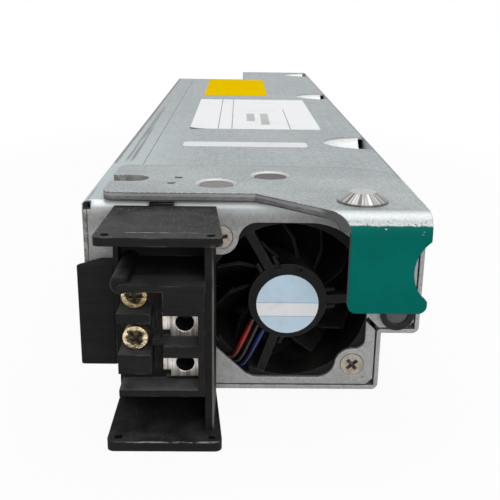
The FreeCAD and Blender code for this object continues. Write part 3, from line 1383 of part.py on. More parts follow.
node(second_sink, "secondary_heat_sink")
node(row_of_chips("diode", diode_left, second_y), "rectifiers")
control_x = diode_left - dim.control_gap - dim.board_thickness
output_ring_x = control_x - dim.output_ring_gap - dim.choke_outer
output_ring_y = board_front + lane * dim.output_ring_share
node(ring_coil("output_ring", output_ring_x, output_ring_y), "output_choke")
output_cap_x = board_left + dim.output_cap_in
output_cap_y = board_front + lane * dim.output_cap_share
small_pitch = dim.small_cap_pitch
last_cap_x = control_x - dim.output_cap_gap - dim.small_cap_radius
caps_across = 1 + math.floor((last_cap_x.value - output_cap_x.value) / small_pitch.value + 0.001)
node(group("output_cap_set", [
    rod(
        f"output_cap_{k}_{n}", (output_cap_x + small_pitch * k, output_cap_y + small_pitch * n, board_top),
        "Z", dim.small_cap_radius, dim.small_cap_height,
    )
    for k in range(caps_across) for n in range(2)
]), "output_capacitors")
control_y = board_front + lane * dim.control_share
control_block = box(
    "control_block", (control_x, control_y, board_top),
    (control_x + dim.board_thickness, control_y + dim.control_length, board_top + dim.control_height),
)
node(control_block, "control_board")

doc.recompute()
for item in doc.Objects:
    if "Invalid" in item.State or "Error" in item.State:
        raise RuntimeError(f"{item.Label} did not build: {item.State}")
for item in nodes:
    if item.Shape.isNull() or not item.Shape.isValid() or not item.Shape.Solids:
        raise RuntimeError(f"{item.Label} has no valid solid")
os.makedirs("parts", exist_ok=True)
for item in nodes:
    item.Shape.exportStep(f"parts/{item.Label}.step")
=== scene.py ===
import math
import bmesh
import bpy
from mathutils import Matrix, Vector


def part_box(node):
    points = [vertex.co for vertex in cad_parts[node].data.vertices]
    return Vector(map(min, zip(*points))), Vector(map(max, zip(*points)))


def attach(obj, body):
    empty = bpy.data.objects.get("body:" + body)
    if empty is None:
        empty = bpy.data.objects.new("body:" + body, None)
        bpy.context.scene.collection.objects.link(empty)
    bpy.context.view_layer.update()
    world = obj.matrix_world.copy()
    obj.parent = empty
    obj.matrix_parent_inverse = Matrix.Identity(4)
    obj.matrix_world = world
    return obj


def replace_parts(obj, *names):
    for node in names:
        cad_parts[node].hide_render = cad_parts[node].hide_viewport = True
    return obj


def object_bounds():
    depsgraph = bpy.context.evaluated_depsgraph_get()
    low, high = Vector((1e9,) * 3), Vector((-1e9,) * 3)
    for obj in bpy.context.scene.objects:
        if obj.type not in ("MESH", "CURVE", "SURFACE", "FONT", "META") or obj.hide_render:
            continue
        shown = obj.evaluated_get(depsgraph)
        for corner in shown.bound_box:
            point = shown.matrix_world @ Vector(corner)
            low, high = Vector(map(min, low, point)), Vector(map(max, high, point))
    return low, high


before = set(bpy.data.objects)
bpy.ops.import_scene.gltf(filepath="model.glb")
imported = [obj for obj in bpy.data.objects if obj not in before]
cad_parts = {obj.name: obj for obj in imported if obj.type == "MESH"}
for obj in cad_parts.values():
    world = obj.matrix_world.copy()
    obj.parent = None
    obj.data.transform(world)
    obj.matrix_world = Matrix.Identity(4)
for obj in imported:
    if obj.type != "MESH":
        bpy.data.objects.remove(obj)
cad_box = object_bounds()

# Case: three folded steel sheets, zinc coated by the mill before they were cut and bent, held by flush screws.
# The coating shows a fine spangle and rolling streaks, and it is rubbed bare where the unit slides in its bay.
# Three scoops are pressed in the right of the top sheet, each ending in a slit before the bend.
MM = 0.001


def feed(tree, socket, value):
    """Link a shade to a socket, or set the socket to a number, colour or vector."""
    if isinstance(value, Shade):
        tree.links.new(value.socket, socket)
    elif isinstance(value, tuple) and socket.type == "RGBA":
        socket.default_value = (*value, 1.0)
    else:
        socket.default_value = value


class Shade:
    """One value or colour on its way through the nodes of a finish."""

    def __init__(self, tree, socket):
        self.tree = tree
        self.socket = socket

    def make(self, kind, settings, sockets, out=0):
        """Add a node, set it up, feed its sockets and give back one of its outputs."""
        node = self.tree.nodes.new("ShaderNode" + kind)
        for name, value in settings.items():
            setattr(node, name, value)
        for key, value in sockets.items():
            feed(self.tree, node.inputs[key], value)
        return Shade(self.tree, node.outputs[out])

    def reckon(self, operation, first, second):
        return self.make("Math", {"operation": operation}, {0: first, 1: second})

    def __add__(self, other):
        return self.reckon("ADD", self, other)

    def __radd__(self, other):
        return self.reckon("ADD", other, self)

    def __sub__(self, other):
        return self.reckon("SUBTRACT", self, other)

    def __rsub__(self, other):
        return self.reckon("SUBTRACT", other, self)

    def __mul__(self, other):
        return self.reckon("MULTIPLY", self, other)

    def __rmul__(self, other):
        return self.reckon("MULTIPLY", other, self)


def start_finish(name):
    """A new material, its surface shader and the place on the piece as a shade."""
    material = bpy.data.materials.new(name)
    material.use_nodes = True
    tree = material.node_tree
    place = Shade(tree, None).make("TexCoord", {}, {}, "Object")
    return material, tree.nodes["Principled BSDF"], place


def lay_on(surface, place, sockets):
    """Feed the sockets of a finish's surface shader."""
    for name, value in sockets.items():
        feed(place.tree, surface.inputs[name], value)


def stretched(place, scale):
    return place.make("Mapping", {}, {"Vector": place, "Scale": scale})


def grain(place, scale, detail=2.0, rough=0.5):
    """Noise from 0 to 1 with so many lumps to the metre."""
    sockets = {"Vector": place, "Scale": scale, "Detail": detail, "Roughness": rough}
    return place.make("TexNoise", {}, sockets)


def ease(value, low, high):
    """0 below low, 1 above high, smooth between."""
    return value.make("MapRange", {"interpolation_type": "SMOOTHSTEP"}, {0: value, 1: low, 2: high})


def band(value, low, high, soft):
    """1 between low and high, fading to 0 outside over the soft width."""
    return ease(value, low - soft, low + soft) * (1 - ease(value, high - soft, high + soft))


def blend(amount, first, second):
    """The first colour where amount is 0, the second where it is 1."""
    return amount.make("Mix", {"data_type": "RGBA"}, {0: amount, 6: first, 7: second}, 2)


def parts_of(shade):
    """The three numbers of a colour or direction."""
    node = shade.make("SeparateXYZ", {}, {0: shade}).socket.node
    return tuple(Shade(shade.tree, node.outputs[k]) for k in range(3))


def in_millimetres(place):
    """The three coordinates of the place in millimetres."""
    return parts_of(stretched(place, (1 / MM, 1 / MM, 1 / MM)))


def rounded_edges(place, radius):
    """The surface direction with sharp edges eased over a radius, and a mask of those edges."""
    eased = place.make("Bevel", {"samples": 6}, {"Radius": radius})
    plain = place.make("NewGeometry", {}, {}, "True Normal")
    match = place.make("VectorMath", {"operation": "DOT_PRODUCT"}, {0: eased, 1: plain}, "Value")
    return eased, ease(1 - match, 0.01, 0.12)


def raised(height, distance, strength=1.0, over=None):
    """A surface direction that follows a height."""
    sockets = {"Height": height, "Distance": distance, "Strength": strength}
    if over is not None:
        sockets["Normal"] = over
    return height.make("Bump", {}, sockets)


def facing(place, axis):
    """How much the surface faces along one axis, from -1 to 1."""
    return parts_of(place.make("NewGeometry", {}, {}, "True Normal"))[axis]


def dress(finish, *nodes):
    """Give a finish to parts that came from the frame."""
    for name in nodes:
        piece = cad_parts[name]
        if not piece.material_slots:
            piece.data.materials.append(finish)
        for slot in piece.material_slots:
            slot.material = finish


ZINC_DARK, ZINC_LIGHT = (0.199, 0.229, 0.238), (0.436, 0.474, 0.485)
ZINC_RUBBED, ZINC_EDGE_HIGHLIGHT = (0.108, 0.114, 0.120), (0.78, 0.79, 0.79)
ZINC_LIT_PALE = (0.48, 0.545, 0.565)
FRONT_SHADE_DARK, FRONT_SHADE_LIGHT = (0.265, 0.262, 0.255), (0.425, 0.421, 0.412)
FOLD_HIGHLIGHT_WHITE, FOLD_HIGHLIGHT_GREY = (0.88, 0.90, 0.90), (0.60, 0.655, 0.665)
CHAFED_BROWN, RUST_BROWN = (0.085, 0.068, 0.055), (0.10, 0.078, 0.062)
SHADE_GREY, SLIT_SHADOW_BLACK = (0.12, 0.118, 0.112), (0.004, 0.004, 0.004)
SCOOP_HIGHLIGHT = (0.93, 0.94, 0.94)
CASE_LOW, CASE_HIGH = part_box("case_shell")
CASE_RIGHT, CASE_TOP, FACE = CASE_HIGH.x, CASE_HIGH.z, CASE_LOW.y
TOP_MM, FACE_MM = CASE_TOP / MM, FACE / MM

case_zinc, surface, place = start_finish("case_zinc")
x, y, z = in_millimetres(place)
up, front = facing(place, 2), ease(-1 * facing(place, 1), 0.7, 0.95)
spangle = place.make("TexVoronoi", {}, {"Vector": place, "Scale": 1100.0}, "Color")
cloud = grain(place, 30.0, 4.0, 0.6)
speckle = grain(place, 1700.0, 3.0, 0.7)
rolled = grain(stretched(place, (900.0, 12.0, 900.0)), 1.0, 3.0)
tone = 0.22 * cloud + 0.50 * speckle + 0.12 * rolled + 0.12 * parts_of(spangle)[0]
tone = ease(tone, 0.25, 0.70)
colour = blend(tone, ZINC_DARK, ZINC_LIGHT)
# Painted shade: the front face is blended to darker tones than the top, as less light falls on it.
colour = blend(0.85 * front, colour, blend(tone, FRONT_SHADE_DARK, FRONT_SHADE_LIGHT))
# Painted light: the top is painted paler and bluer towards its left front, as a lit sheen.
lit_left = (1 - ease(x, -32.0, -8.0)) * (1 - ease(y, -140.0, 0.0)) * ease(up, 0.8, 0.95)
colour = blend(0.65 * lit_left, colour, ZINC_LIT_PALE)
toward_rear = 1.3 * ease(y, -125.0, 0.0)
slide_marks = band(x, -31.95, -31.05, 0.25) + band(x + toward_rear, -30.5, -29.5, 0.25)
slide_marks = slide_marks * band(y, -124.0, -5.0, 6.0) * (1 - 0.5 * ease(y, -70.0, 0.0))
scuffs = ease(grain(stretched(place, (2200.0, 30.0, 60.0)), 1.0, 4.0), 0.30, 0.52)
pits = ease(grain(place, 900.0, 1.0), 0.74, 0.79)
colour = blend(0.9 * slide_marks * scuffs + 0.35 * pits, colour, ZINC_RUBBED)
chafed = 1 - ease(x + 0.5 * grain(place, 500.0, 3.0), -33.65, -33.1)
chafed = chafed * ease(y, -130.0, -127.0) * ease(z, TOP_MM - 1.2, TOP_MM - 0.7)
colour = blend(0.85 * chafed * ease(speckle, 0.25, 0.55), colour, CHAFED_BROWN)
eased, edge = rounded_edges(place, 0.4 * MM)
# Painted highlight: patches along the edges are painted bright.
colour = blend(0.35 * edge * ease(grain(place, 400.0), 0.4, 0.6), colour, ZINC_EDGE_HIGHLIGHT)
# Painted highlight: the fold at the top of the face is painted white and fades through pale grey below it.
# There its surface direction is also rounded over a wider radius.
fold_highlight = ease(z, TOP_MM - 1.4, TOP_MM - 0.6) * ease(FACE_MM + 2.5 - y, 0.0, 0.5)
below_fold_highlight = ease(z, TOP_MM - 3.4, TOP_MM - 1.2) * ease(FACE_MM + 0.6 - y, 0.0, 0.3)
colour = blend(0.45 * below_fold_highlight, colour, FOLD_HIGHLIGHT_GREY)
colour = blend(0.92 * fold_highlight, colour, FOLD_HIGHLIGHT_WHITE)
# Painted shadow: the upper front face is darkened below the lever.
lever_shade = front * band(z, 40.5, TOP_MM - 3.0, 1.2)
colour = blend(0.28 * lever_shade, colour, SHADE_GREY)
left_edge = ease(-33.6 - x, 0.0, 0.5) * ease(FACE_MM + 0.4 - y, 0.0, 0.3)
rust = ease(grain(place, 800.0, 4.0, 0.7), 0.40, 0.62)
colour = blend(0.75 * left_edge * rust, colour, RUST_BROWN)
# Painted shade: the relief slits at the two front corners are painted black, matte and not metallic, for the
# shade inside them.
relief_shadow = band(z, TOP_MM - 1.75, TOP_MM - 0.30, 0.06) * band(x, -34.75, -33.05, 0.06)
relief_shadow = relief_shadow + ease(x, 42.0, 42.2) * ease(z, TOP_MM - 2.2, TOP_MM - 2.0)
relief_shadow = relief_shadow * ease(FACE_MM + 4.0 - y, 0.0, 0.3)
colour = blend(0.98 * relief_shadow, colour, SLIT_SHADOW_BLACK)
# Painted highlight: the walls of the pressed scoops are painted near white, as they catch the light.
scoop_highlight = ease(z, TOP_MM - 8.0, TOP_MM - 7.0) * (1 - ease(z, TOP_MM - 0.5, TOP_MM - 0.05))
scoop_highlight = scoop_highlight * ease(x, 27.0, 28.0) * (1 - ease(x, 41.2, 41.5))
scoop_highlight = scoop_highlight * ease(y, FACE_MM + 5.0, FACE_MM + 9.0) * ease(up, 0.1, 0.3)
colour = blend(0.9 * scoop_highlight * ease(cloud, 0.1, 0.5), colour, SCOOP_HIGHLIGHT)
joint = band(x, 42.55, 42.95, 0.1) * ease(up, 0.7, 0.9) * ease(y, FACE_MM + 20.0, FACE_MM + 30.0)
colour = blend(0.8 * joint, colour, ZINC_RUBBED)
over_fold = place.make("Bevel", {"samples": 8}, {"Radius": 2.2 * MM})
turned_edge = fold_highlight.make("Mix", {"data_type": "VECTOR"}, {0: fold_highlight, 4: eased, 5: over_fold}, 1)
lay_on(surface, place, {
    "Base Color": colour,
    "Metallic": 0.30 - 0.3 * relief_shadow,
    "Roughness": 0.44 + 0.10 * cloud + 0.10 * speckle - 0.12 * slide_marks + 0.3 * relief_shadow,
    "Normal": raised(speckle + 0.5 * rolled, 0.02 * MM, 0.4, turned_edge),
})
dress(case_zinc, "side_cover", "rear_panel", "cover_screws")

SCOOP_ROWS = (-90.5 * MM, 40.6 * MM, 159.0 * MM)
SCOOP_TIP, SCOOP_END, SCOOP_SLIT = 28.2 * MM, 41.4 * MM, 43.0 * MM
SCOOP_HALF, SCOOP_DEEP = 12.3 * MM, 5.0 * MM
SHEET, BEND, LAP, WELD = 1.0 * MM, 1.6 * MM, 0.5 * MM, 0.0001 * MM
PATCH_HALF = 13.7 * MM
PATCH_LOW = Vector((CASE_RIGHT - 17.5 * MM, -PATCH_HALF, 17.0 * MM))
PATCH_HIGH = Vector((CASE_RIGHT, PATCH_HALF, CASE_TOP))
SMOOTH_BELOW = math.radians(25.0)


def add_block(shape, low, high):
    """Add a block between two corners to a shape and give back its points."""
    block = bmesh.ops.create_cube(shape, size=1.0)["verts"]
    bmesh.ops.scale(shape, vec=high - low, verts=block)
    bmesh.ops.translate(shape, vec=(low + high) / 2, verts=block)
    return block


def round_off(shape, edges, radius, steps):
    """Round some edges of a shape."""
    bmesh.ops.bevel(
        shape, geom=edges, offset=radius, affect="EDGES", segments=steps, profile=0.5, material=-1,
    )


def trim(shape, spot, way):
    """Cut off what lies beyond a plane and close the cut."""
    everything = shape.verts[:] + shape.edges[:] + shape.faces[:]
    bmesh.ops.bisect_plane(shape, geom=everything, plane_co=spot, plane_no=way, clear_outer=True)
    bmesh.ops.edgenet_fill(shape, edges=[e for e in shape.edges if e.is_boundary])
    bmesh.ops.recalc_face_normals(shape, faces=shape.faces[:])


def add_bowl(shape, end, thick):
    """Add the form of the scoop to a shape, thickened, its round tip to the left, cut off at its end."""
    bmesh.ops.create_uvsphere(shape, u_segments=48, v_segments=24, radius=1.0)
    spread = Vector((SCOOP_SLIT - SCOOP_TIP, SCOOP_HALF, SCOOP_DEEP)) + Vector((thick, thick, thick))
    bmesh.ops.scale(shape, vec=spread, verts=shape.verts)
    bmesh.ops.translate(shape, vec=(SCOOP_SLIT, 0.0, CASE_TOP), verts=shape.verts)
    trim(shape, (end, 0.0, 0.0), (1.0, 0.0, 0.0))


def loose_object(name, shape):
    """An object in the scene made from a shape, which is used up."""
    mesh = bpy.data.meshes.new(name)
    shape.to_mesh(mesh)
    shape.free()
    thing = bpy.data.objects.new(name, mesh)
    bpy.context.scene.collection.objects.link(thing)
    return thing


def repeated(shape):
    """The shape once at each scoop, as a loose object to cut or join with."""
    one, rows = bpy.data.meshes.new("scoop_form"), bmesh.new()
    shape.to_mesh(one)
    shape.free()
    for row in SCOOP_ROWS:
        before = len(rows.verts)
        rows.from_mesh(one)
        bmesh.ops.translate(rows, vec=(0.0, row, 0.0), verts=rows.verts[before:])
    return loose_object("scoop_tool", rows)


room, corner, pocket, hollow = (bmesh.new() for k in range(4))
overlap = Vector((LAP, LAP, LAP))
add_block(room, PATCH_LOW + overlap, PATCH_HIGH + Vector((LAP, -LAP, LAP)))
add_block(corner, PATCH_LOW, PATCH_HIGH)
outer = [v for v in corner.verts if v.co.x > CASE_RIGHT - LAP and v.co.z > CASE_TOP - LAP]
round_off(corner, [e for e in corner.edges if all(v in outer for v in e.verts)], BEND, 6)
hidden = [f for f in corner.faces if abs(f.normal.y) > 0.9 or min(f.normal.x, f.normal.z) < -0.9]
bmesh.ops.delete(corner, geom=hidden, context="FACES")
bmesh.ops.solidify(corner, geom=corner.faces[:], thickness=SHEET)
bmesh.ops.recalc_face_normals(corner, faces=corner.faces[:])
add_bowl(pocket, SCOOP_END, SHEET)
trim(pocket, (0.0, 0.0, CASE_TOP - SHEET / 2), (0.0, 0.0, 1.0))
add_bowl(hollow, SCOOP_SLIT, 0.0)

plain = bmesh.new()
plain.from_mesh(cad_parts["case_shell"].data)
bmesh.ops.remove_doubles(plain, verts=plain.verts[:], dist=WELD)
blank = loose_object("case_blank", plain)
tools = (
    (repeated(room), "DIFFERENCE"),
    (repeated(corner), "UNION"),
    (repeated(pocket), "UNION"),
    (repeated(hollow), "DIFFERENCE"),
)
for tool, way in tools:
    press = blank.modifiers.new(way, "BOOLEAN")
    press.operation, press.solver, press.object = way, "EXACT", tool
worked_blank = blank.evaluated_get(bpy.context.evaluated_depsgraph_get())
pressed = bmesh.new()
pressed.from_mesh(bpy.data.meshes.new_from_object(worked_blank))
for face in pressed.faces:
    face.smooth = True
    face.material_index = 0
for side in pressed.edges:
    side.smooth = side.calc_face_angle(0.0) < SMOOTH_BELOW
for used in (blank, *(tool for tool, way in tools)):
    bpy.data.objects.remove(used)


def new_piece(name, shape, body, finish):
    """A finished piece from a shape, riding on a body of the frame."""
    piece = loose_object(name, shape)
    piece.data.materials.append(finish)
    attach(piece, body)
    return piece


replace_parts(new_piece("pressed_case", pressed, "case", case_zinc), "case_shell")

# Stickers on the case top: thin printed film, blank here but for ruled lines and fields of grey tint.
# Each is die cut with rounded corners and pressed on by hand, so one corner has lifted.
FILM, LIFT_REACH = 0.09 * MM, 7.0 * MM


def new_points(made):
    """The points among what an extrusion made."""
    return [v for v in made if isinstance(v, bmesh.types.BMVert)]


def sticker(name, low, high, corner, steps, lifted, finish):
    """A thin film on the case top between two corners, in millimetres, with one corner lifted."""
    film = bmesh.new()
    low, high = Vector(low) * MM, Vector(high) * MM
    size, middle = high - low, (low + high) / 2
    bmesh.ops.create_grid(film, x_segments=steps[0], y_segments=steps[1], size=0.5)
    bmesh.ops.scale(film, vec=(size.x, size.y, 1.0), verts=film.verts)
    bmesh.ops.translate(film, vec=(middle.x, middle.y, CASE_TOP), verts=film.verts)
    corners = [v for v in film.verts if len(v.link_edges) == 2]
    bmesh.ops.bevel(
        film, geom=corners, offset=corner * MM, affect="VERTICES", segments=5, profile=0.5, material=-1,
    )
    for v in film.verts:
        from_corner = (v.co.xy - low).length
        v.co.z += lifted * MM * max(0.0, 1.0 - from_corner / LIFT_REACH) ** 2
    upper = new_points(bmesh.ops.extrude_face_region(film, geom=film.faces[:])["geom"])
    bmesh.ops.translate(film, vec=(0.0, 0.0, FILM), verts=upper)
    bmesh.ops.recalc_face_normals(film, faces=film.faces[:])
    new_piece(name, film, "case", finish)


def creased(place):
    """The surface direction of film that isn't quite flat."""
    return raised(grain(stretched(place, (40.0, 160.0, 40.0)), 1.0, 3.0), 0.25 * MM, 0.25)


def soiling(place, lumps, low=0.45, high=0.8):
    """Patches of soil with ragged edges."""
    return ease(grain(place, lumps, 4.0, 0.65), low, high)


def film_finish(name, colour, worn):
    """Printed film: nearly flat, satin, a little soiled and creased."""
    material, surface, place = start_finish(name)
    soil = soiling(place, 70.0)
    fleck = ease(grain(place, 1500.0, 1.0), 0.72, 0.78)
    lay_on(surface, place, {
        "Base Color": blend(0.25 * soil + 0.25 * fleck, colour, worn),
        "Roughness": 0.50 + 0.18 * soil,
        "Specular IOR Level": 0.0,
        "Normal": creased(place),
    })
    return material


WHITE_LOW, WHITE_HIGH = (-17.1, -65.0), (30.0, 23.0)
YELLOW_LOW, YELLOW_HIGH = (-16.4, 40.0), (14.2, 119.0)
STRIP_LOW, STRIP_HIGH = (-17.2, -101.0), (22.4, -92.5)


def ruled(place, across, along):
    """1 inside a field of the white sticker, given by shares of its width and length."""
    x, y = in_millimetres(place)[:2]
    wide, long = (high - low for low, high in zip(WHITE_LOW, WHITE_HIGH))
    left, right = (WHITE_LOW[0] + share * wide for share in across)
    front, back = (WHITE_LOW[1] + share * long for share in along)
    return band(x, left, right, 0.04) * band(y, front, back, 0.06)


PAPER, SOILED = (0.89, 0.90, 0.91), (0.66, 0.67, 0.67)
INK, TINT = (0.07, 0.07, 0.075), (0.36, 0.365, 0.37)
white_film, surface, place = start_finish("white_sticker")
soil = soiling(place, 70.0)
lines = ruled(place, (0.212, 0.219), (0.0, 1.0)) + ruled(place, (0.317, 0.324), (0.0, 1.0))
lines = lines + ruled(place, (0.765, 0.772), (0.0, 0.62))
fields = ruled(place, (0.438, 0.505), (0.22, 0.46)) + ruled(place, (0.553, 0.62), (0.12, 0.46))
colour = blend(0.30 * soil, PAPER, SOILED)
colour = blend(0.85 * fields, colour, TINT)
colour = blend(0.9 * lines, colour, INK)
lay_on(surface, place, {
    "Base Color": colour, "Roughness": 0.40 + 0.2 * soil, "Normal": creased(place),
})
sticker("white_sticker", WHITE_LOW, WHITE_HIGH, 1.2, (24, 44), 0.5, white_film)
yellow_film = film_finish("yellow_film", (0.93, 0.62, 0.0), (0.60, 0.40, 0.0))
sticker("yellow_sticker", YELLOW_LOW, YELLOW_HIGH, 1.0, (16, 40), 0.0, yellow_film)
strip_film = film_finish("strip_film", (0.86, 0.87, 0.88), (0.6, 0.61, 0.62))
sticker("narrow_sticker", STRIP_LOW, STRIP_HIGH, 1.8, (20, 4), 0.0, strip_film)

# Inside: a green circuit board on brass posts over an insulating film, with its gold contacts at the rear edge.
# Heat sinks, coils, cans and chips stand on it, in the finishes of such parts, and show through the vents.
MASK_DARK, MASK_LIGHT, PAD_TIN = (0.008, 0.050, 0.020), (0.020, 0.095, 0.040), (0.55, 0.55, 0.5)
EVEN = (1.0, 1.0, 1.0)


def worked_finish(name, colour, deep, metal, gloss, lumps, streak=EVEN):
    """A plain made surface with a fine texture between two tones."""
    material, surface, place = start_finish(name)
    coarse = grain(stretched(place, streak), lumps, 4.0, 0.6)
    fine = grain(place, lumps * 9.0, 2.0)
    tone = ease(0.6 * coarse + 0.4 * fine, 0.3, 0.7)
    eased, edge = rounded_edges(place, 0.25 * MM)
    lay_on(surface, place, {
        "Base Color": blend(tone, deep, colour),
        "Metallic": metal,
        "Roughness": gloss + 0.15 * coarse - 0.08 * edge,
        "Normal": raised(fine, 0.03 * MM, 0.4, eased),
    })
    return material


board_green, surface, place = start_finish("board_green")
tracks_and_gaps = {"Vector": stretched(place, (220.0, 90.0, 1.0)), "Scale": 1.0, "Mortar Size": 0.09}
track = place.make("TexBrick", {"offset": 0.5}, tracks_and_gaps, "Fac")
pads = place.make("TexVoronoi", {}, {"Vector": place, "Scale": 330.0}, "Distance")
pads = 1 - ease(pads, 0.16, 0.2)
lay_on(surface, place, {
    "Base Color": blend(0.8 * pads, blend(0.5 * track, MASK_DARK, MASK_LIGHT), PAD_TIN),
    "Roughness": 0.35 + 0.2 * pads,
    "Normal": raised(track, 0.03 * MM, 0.5),
})
dress(board_green, "main_board", "control_board")
INSIDE_FINISHES = (
    ("brass_bright", (0.66, 0.47, 0.17), (0.45, 0.30, 0.10), 1.0, 0.28, 300.0, EVEN,
     ("board_standoffs", "edge_contacts", "fan_bearings")),
    ("film_milky", (0.72, 0.71, 0.66), (0.60, 0.59, 0.54), 0.0, 0.35, 120.0, EVEN,
     ("insulating_film",)),
    ("screw_steel", (0.62, 0.61, 0.58), (0.42, 0.41, 0.39), 1.0, 0.30, 400.0, EVEN,
     ("board_screws", "fan_shaft")),
    ("wound_copper", (0.62, 0.24, 0.09), (0.30, 0.10, 0.04), 0.7, 0.30, 500.0, (1.0, 1.0, 6.0),
     ("input_choke", "output_choke", "transformer_winding", "fan_stator")),
    ("can_sleeve", (0.03, 0.035, 0.06), (0.015, 0.018, 0.035), 0.0, 0.25, 150.0, EVEN,
     ("input_capacitors", "output_capacitors")),
    ("drawn_aluminium", (0.62, 0.63, 0.64), (0.45, 0.46, 0.47), 0.9, 0.35, 90.0, (6.0, 0.4, 6.0),
     ("primary_heat_sink", "secondary_heat_sink")),
    ("chip_black", (0.035, 0.035, 0.035), (0.02, 0.02, 0.02), 0.0, 0.55, 600.0, EVEN,
     ("power_transistors", "rectifiers")),
    ("ferrite_grey", (0.07, 0.07, 0.072), (0.03, 0.03, 0.032), 0.0, 0.6, 700.0, EVEN,
     ("transformer_core", "fan_magnet")),
    ("busbar_copper", (0.68, 0.32, 0.16), (0.42, 0.18, 0.09), 1.0, 0.32, 200.0, (1.0, 8.0, 1.0),
     ("upper_busbar", "lower_busbar")),
)
for name, colour, deep, metal, gloss, lumps, streak, nodes in INSIDE_FINISHES:
    dress(worked_finish(name, colour, deep, metal, gloss, lumps, streak), *nodes)

# Fan: black glass-filled moulding for the frame with its struts and for the impeller, slightly dusty inside.
# It is held behind the face by two flat cross-recess screws; three thin leads run to a pale plug on the board.
DUST_GREY, WORN_GREY = (0.16, 0.155, 0.15), (0.22, 0.215, 0.21)


def moulding(name, deep, pale, gloss, dust, radius):
    """Black moulded plastic: fine spark-eroded texture, paler worn edges and dust on what faces up."""
    material, surface, place = start_finish(name)
    texture = grain(place, 3200.0, 2.0)
    flow = grain(stretched(place, (60.0, 60.0, 420.0)), 1.0, 4.0, 0.6)
    cloud = grain(place, 90.0, 4.0, 0.65)
    eased, edge = rounded_edges(place, radius)
    flecks = ease(grain(place, 1900.0, 2.0), 0.70, 0.74)
    settled = ease(facing(place, 2), 0.4, 0.9) * ease(cloud, 0.35, 0.75)
    scratch = ease(grain(stretched(place, (900.0, 60.0, 120.0)), 1.0, 3.0), 0.70, 0.74)
    worn = edge * ease(grain(place, 500.0), 0.35, 0.65)
    colour = blend(ease(0.5 * cloud + 0.5 * flow, 0.35, 0.65), deep, pale)
    colour = blend(dust * settled + 0.5 * dust * flecks, colour, DUST_GREY)
    colour = blend(0.35 * worn + 0.12 * scratch, colour, WORN_GREY)
    lay_on(surface, place, {
        "Base Color": colour,
        "Roughness": gloss + 0.18 * cloud + 0.15 * settled,
        "Specular IOR Level": 0.15,
        "Normal": raised(texture + 1.6 * flow, 0.03 * MM, 0.5, eased),
    })
    return material


FAN_DEEP, FAN_PALE = (0.0038, 0.0036, 0.0035), (0.0085, 0.0080, 0.0076)
fan_black = moulding("fan_black", FAN_DEEP, FAN_PALE, gloss=0.48, dust=0.12, radius=0.25 * MM)
dress(fan_black, "fan_frame", "fan_impeller")

FAN_X, FAN_Z = 12.4 * MM, 22.56 * MM
DISC_BLUE, DISC_PALE = (0.62, 0.78, 0.92), (0.93, 0.93, 0.96)
DISC_RULE, DISC_SOIL = (0.14, 0.17, 0.22), (0.25, 0.27, 0.30)
disc_film, surface, place = start_finish("disc_film")
height = in_millimetres(place)[2] - FAN_Z / MM
soil = soiling(place, 300.0)
pale_band = band(height, -3.85, -0.43, 0.05)
rule = band(height, -0.49, -0.35, 0.03) + band(height, -3.92, -3.80, 0.03)
colour = blend(0.7 * rule, blend(pale_band, DISC_BLUE, DISC_PALE), DISC_RULE)
lay_on(surface, place, {
    "Base Color": blend(0.18 * soil, colour, DISC_SOIL),
    "Roughness": 0.40 + 0.2 * soil,
    "Specular IOR Level": 0.15,
    "Normal": raised(soil, 0.02 * MM, 0.3),
})
dress(disc_film, "fan_label")

STRUT_RIBS = ((3.0, 1), (3.0, -1), (119.0, 1), (119.0, -1), (251.0, 1))
RIB_HALF = Vector((2.9, 2.3, 1.1)) * MM / 2
RIB_TAPER = (1.0, 0.55, 0.75)
RIB_OUT, RIB_ASIDE, RIB_BACK = 9.95 * MM, 2.1 * MM, 1.5 * MM
DISC_THICK = 0.15 * MM
BASE_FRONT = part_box("fan_frame")[0].y + DISC_THICK
ribs = bmesh.new()
for angle, side in STRUT_RIBS:
    rib = add_block(ribs, -RIB_HALF, RIB_HALF)
    bmesh.ops.scale(ribs, vec=RIB_TAPER, verts=[v for v in rib if v.co.x > 0.0])
    bmesh.ops.translate(ribs, vec=(RIB_OUT, 0.0, side * RIB_ASIDE), verts=rib)
    bmesh.ops.rotate(ribs, matrix=Matrix.Rotation(-math.radians(angle), 3, "Y"), verts=rib)
    bmesh.ops.translate(ribs, vec=(FAN_X, BASE_FRONT + RIB_BACK, FAN_Z), verts=rib)
round_off(ribs, ribs.edges[:], 0.2 * MM, 2)
new_piece("strut_ribs", ribs, "case", fan_black)

plug_pale = worked_finish(
    "plug_pale", (0.70, 0.68, 0.60), (0.58, 0.56, 0.48), metal=0.0, gloss=0.4, lumps=300.0,
)
dress(plug_pale, "fan_plug", "fan_header")

LEAD_DIAMETER = 1.3 * MM
CORNER_PULL = 6.0


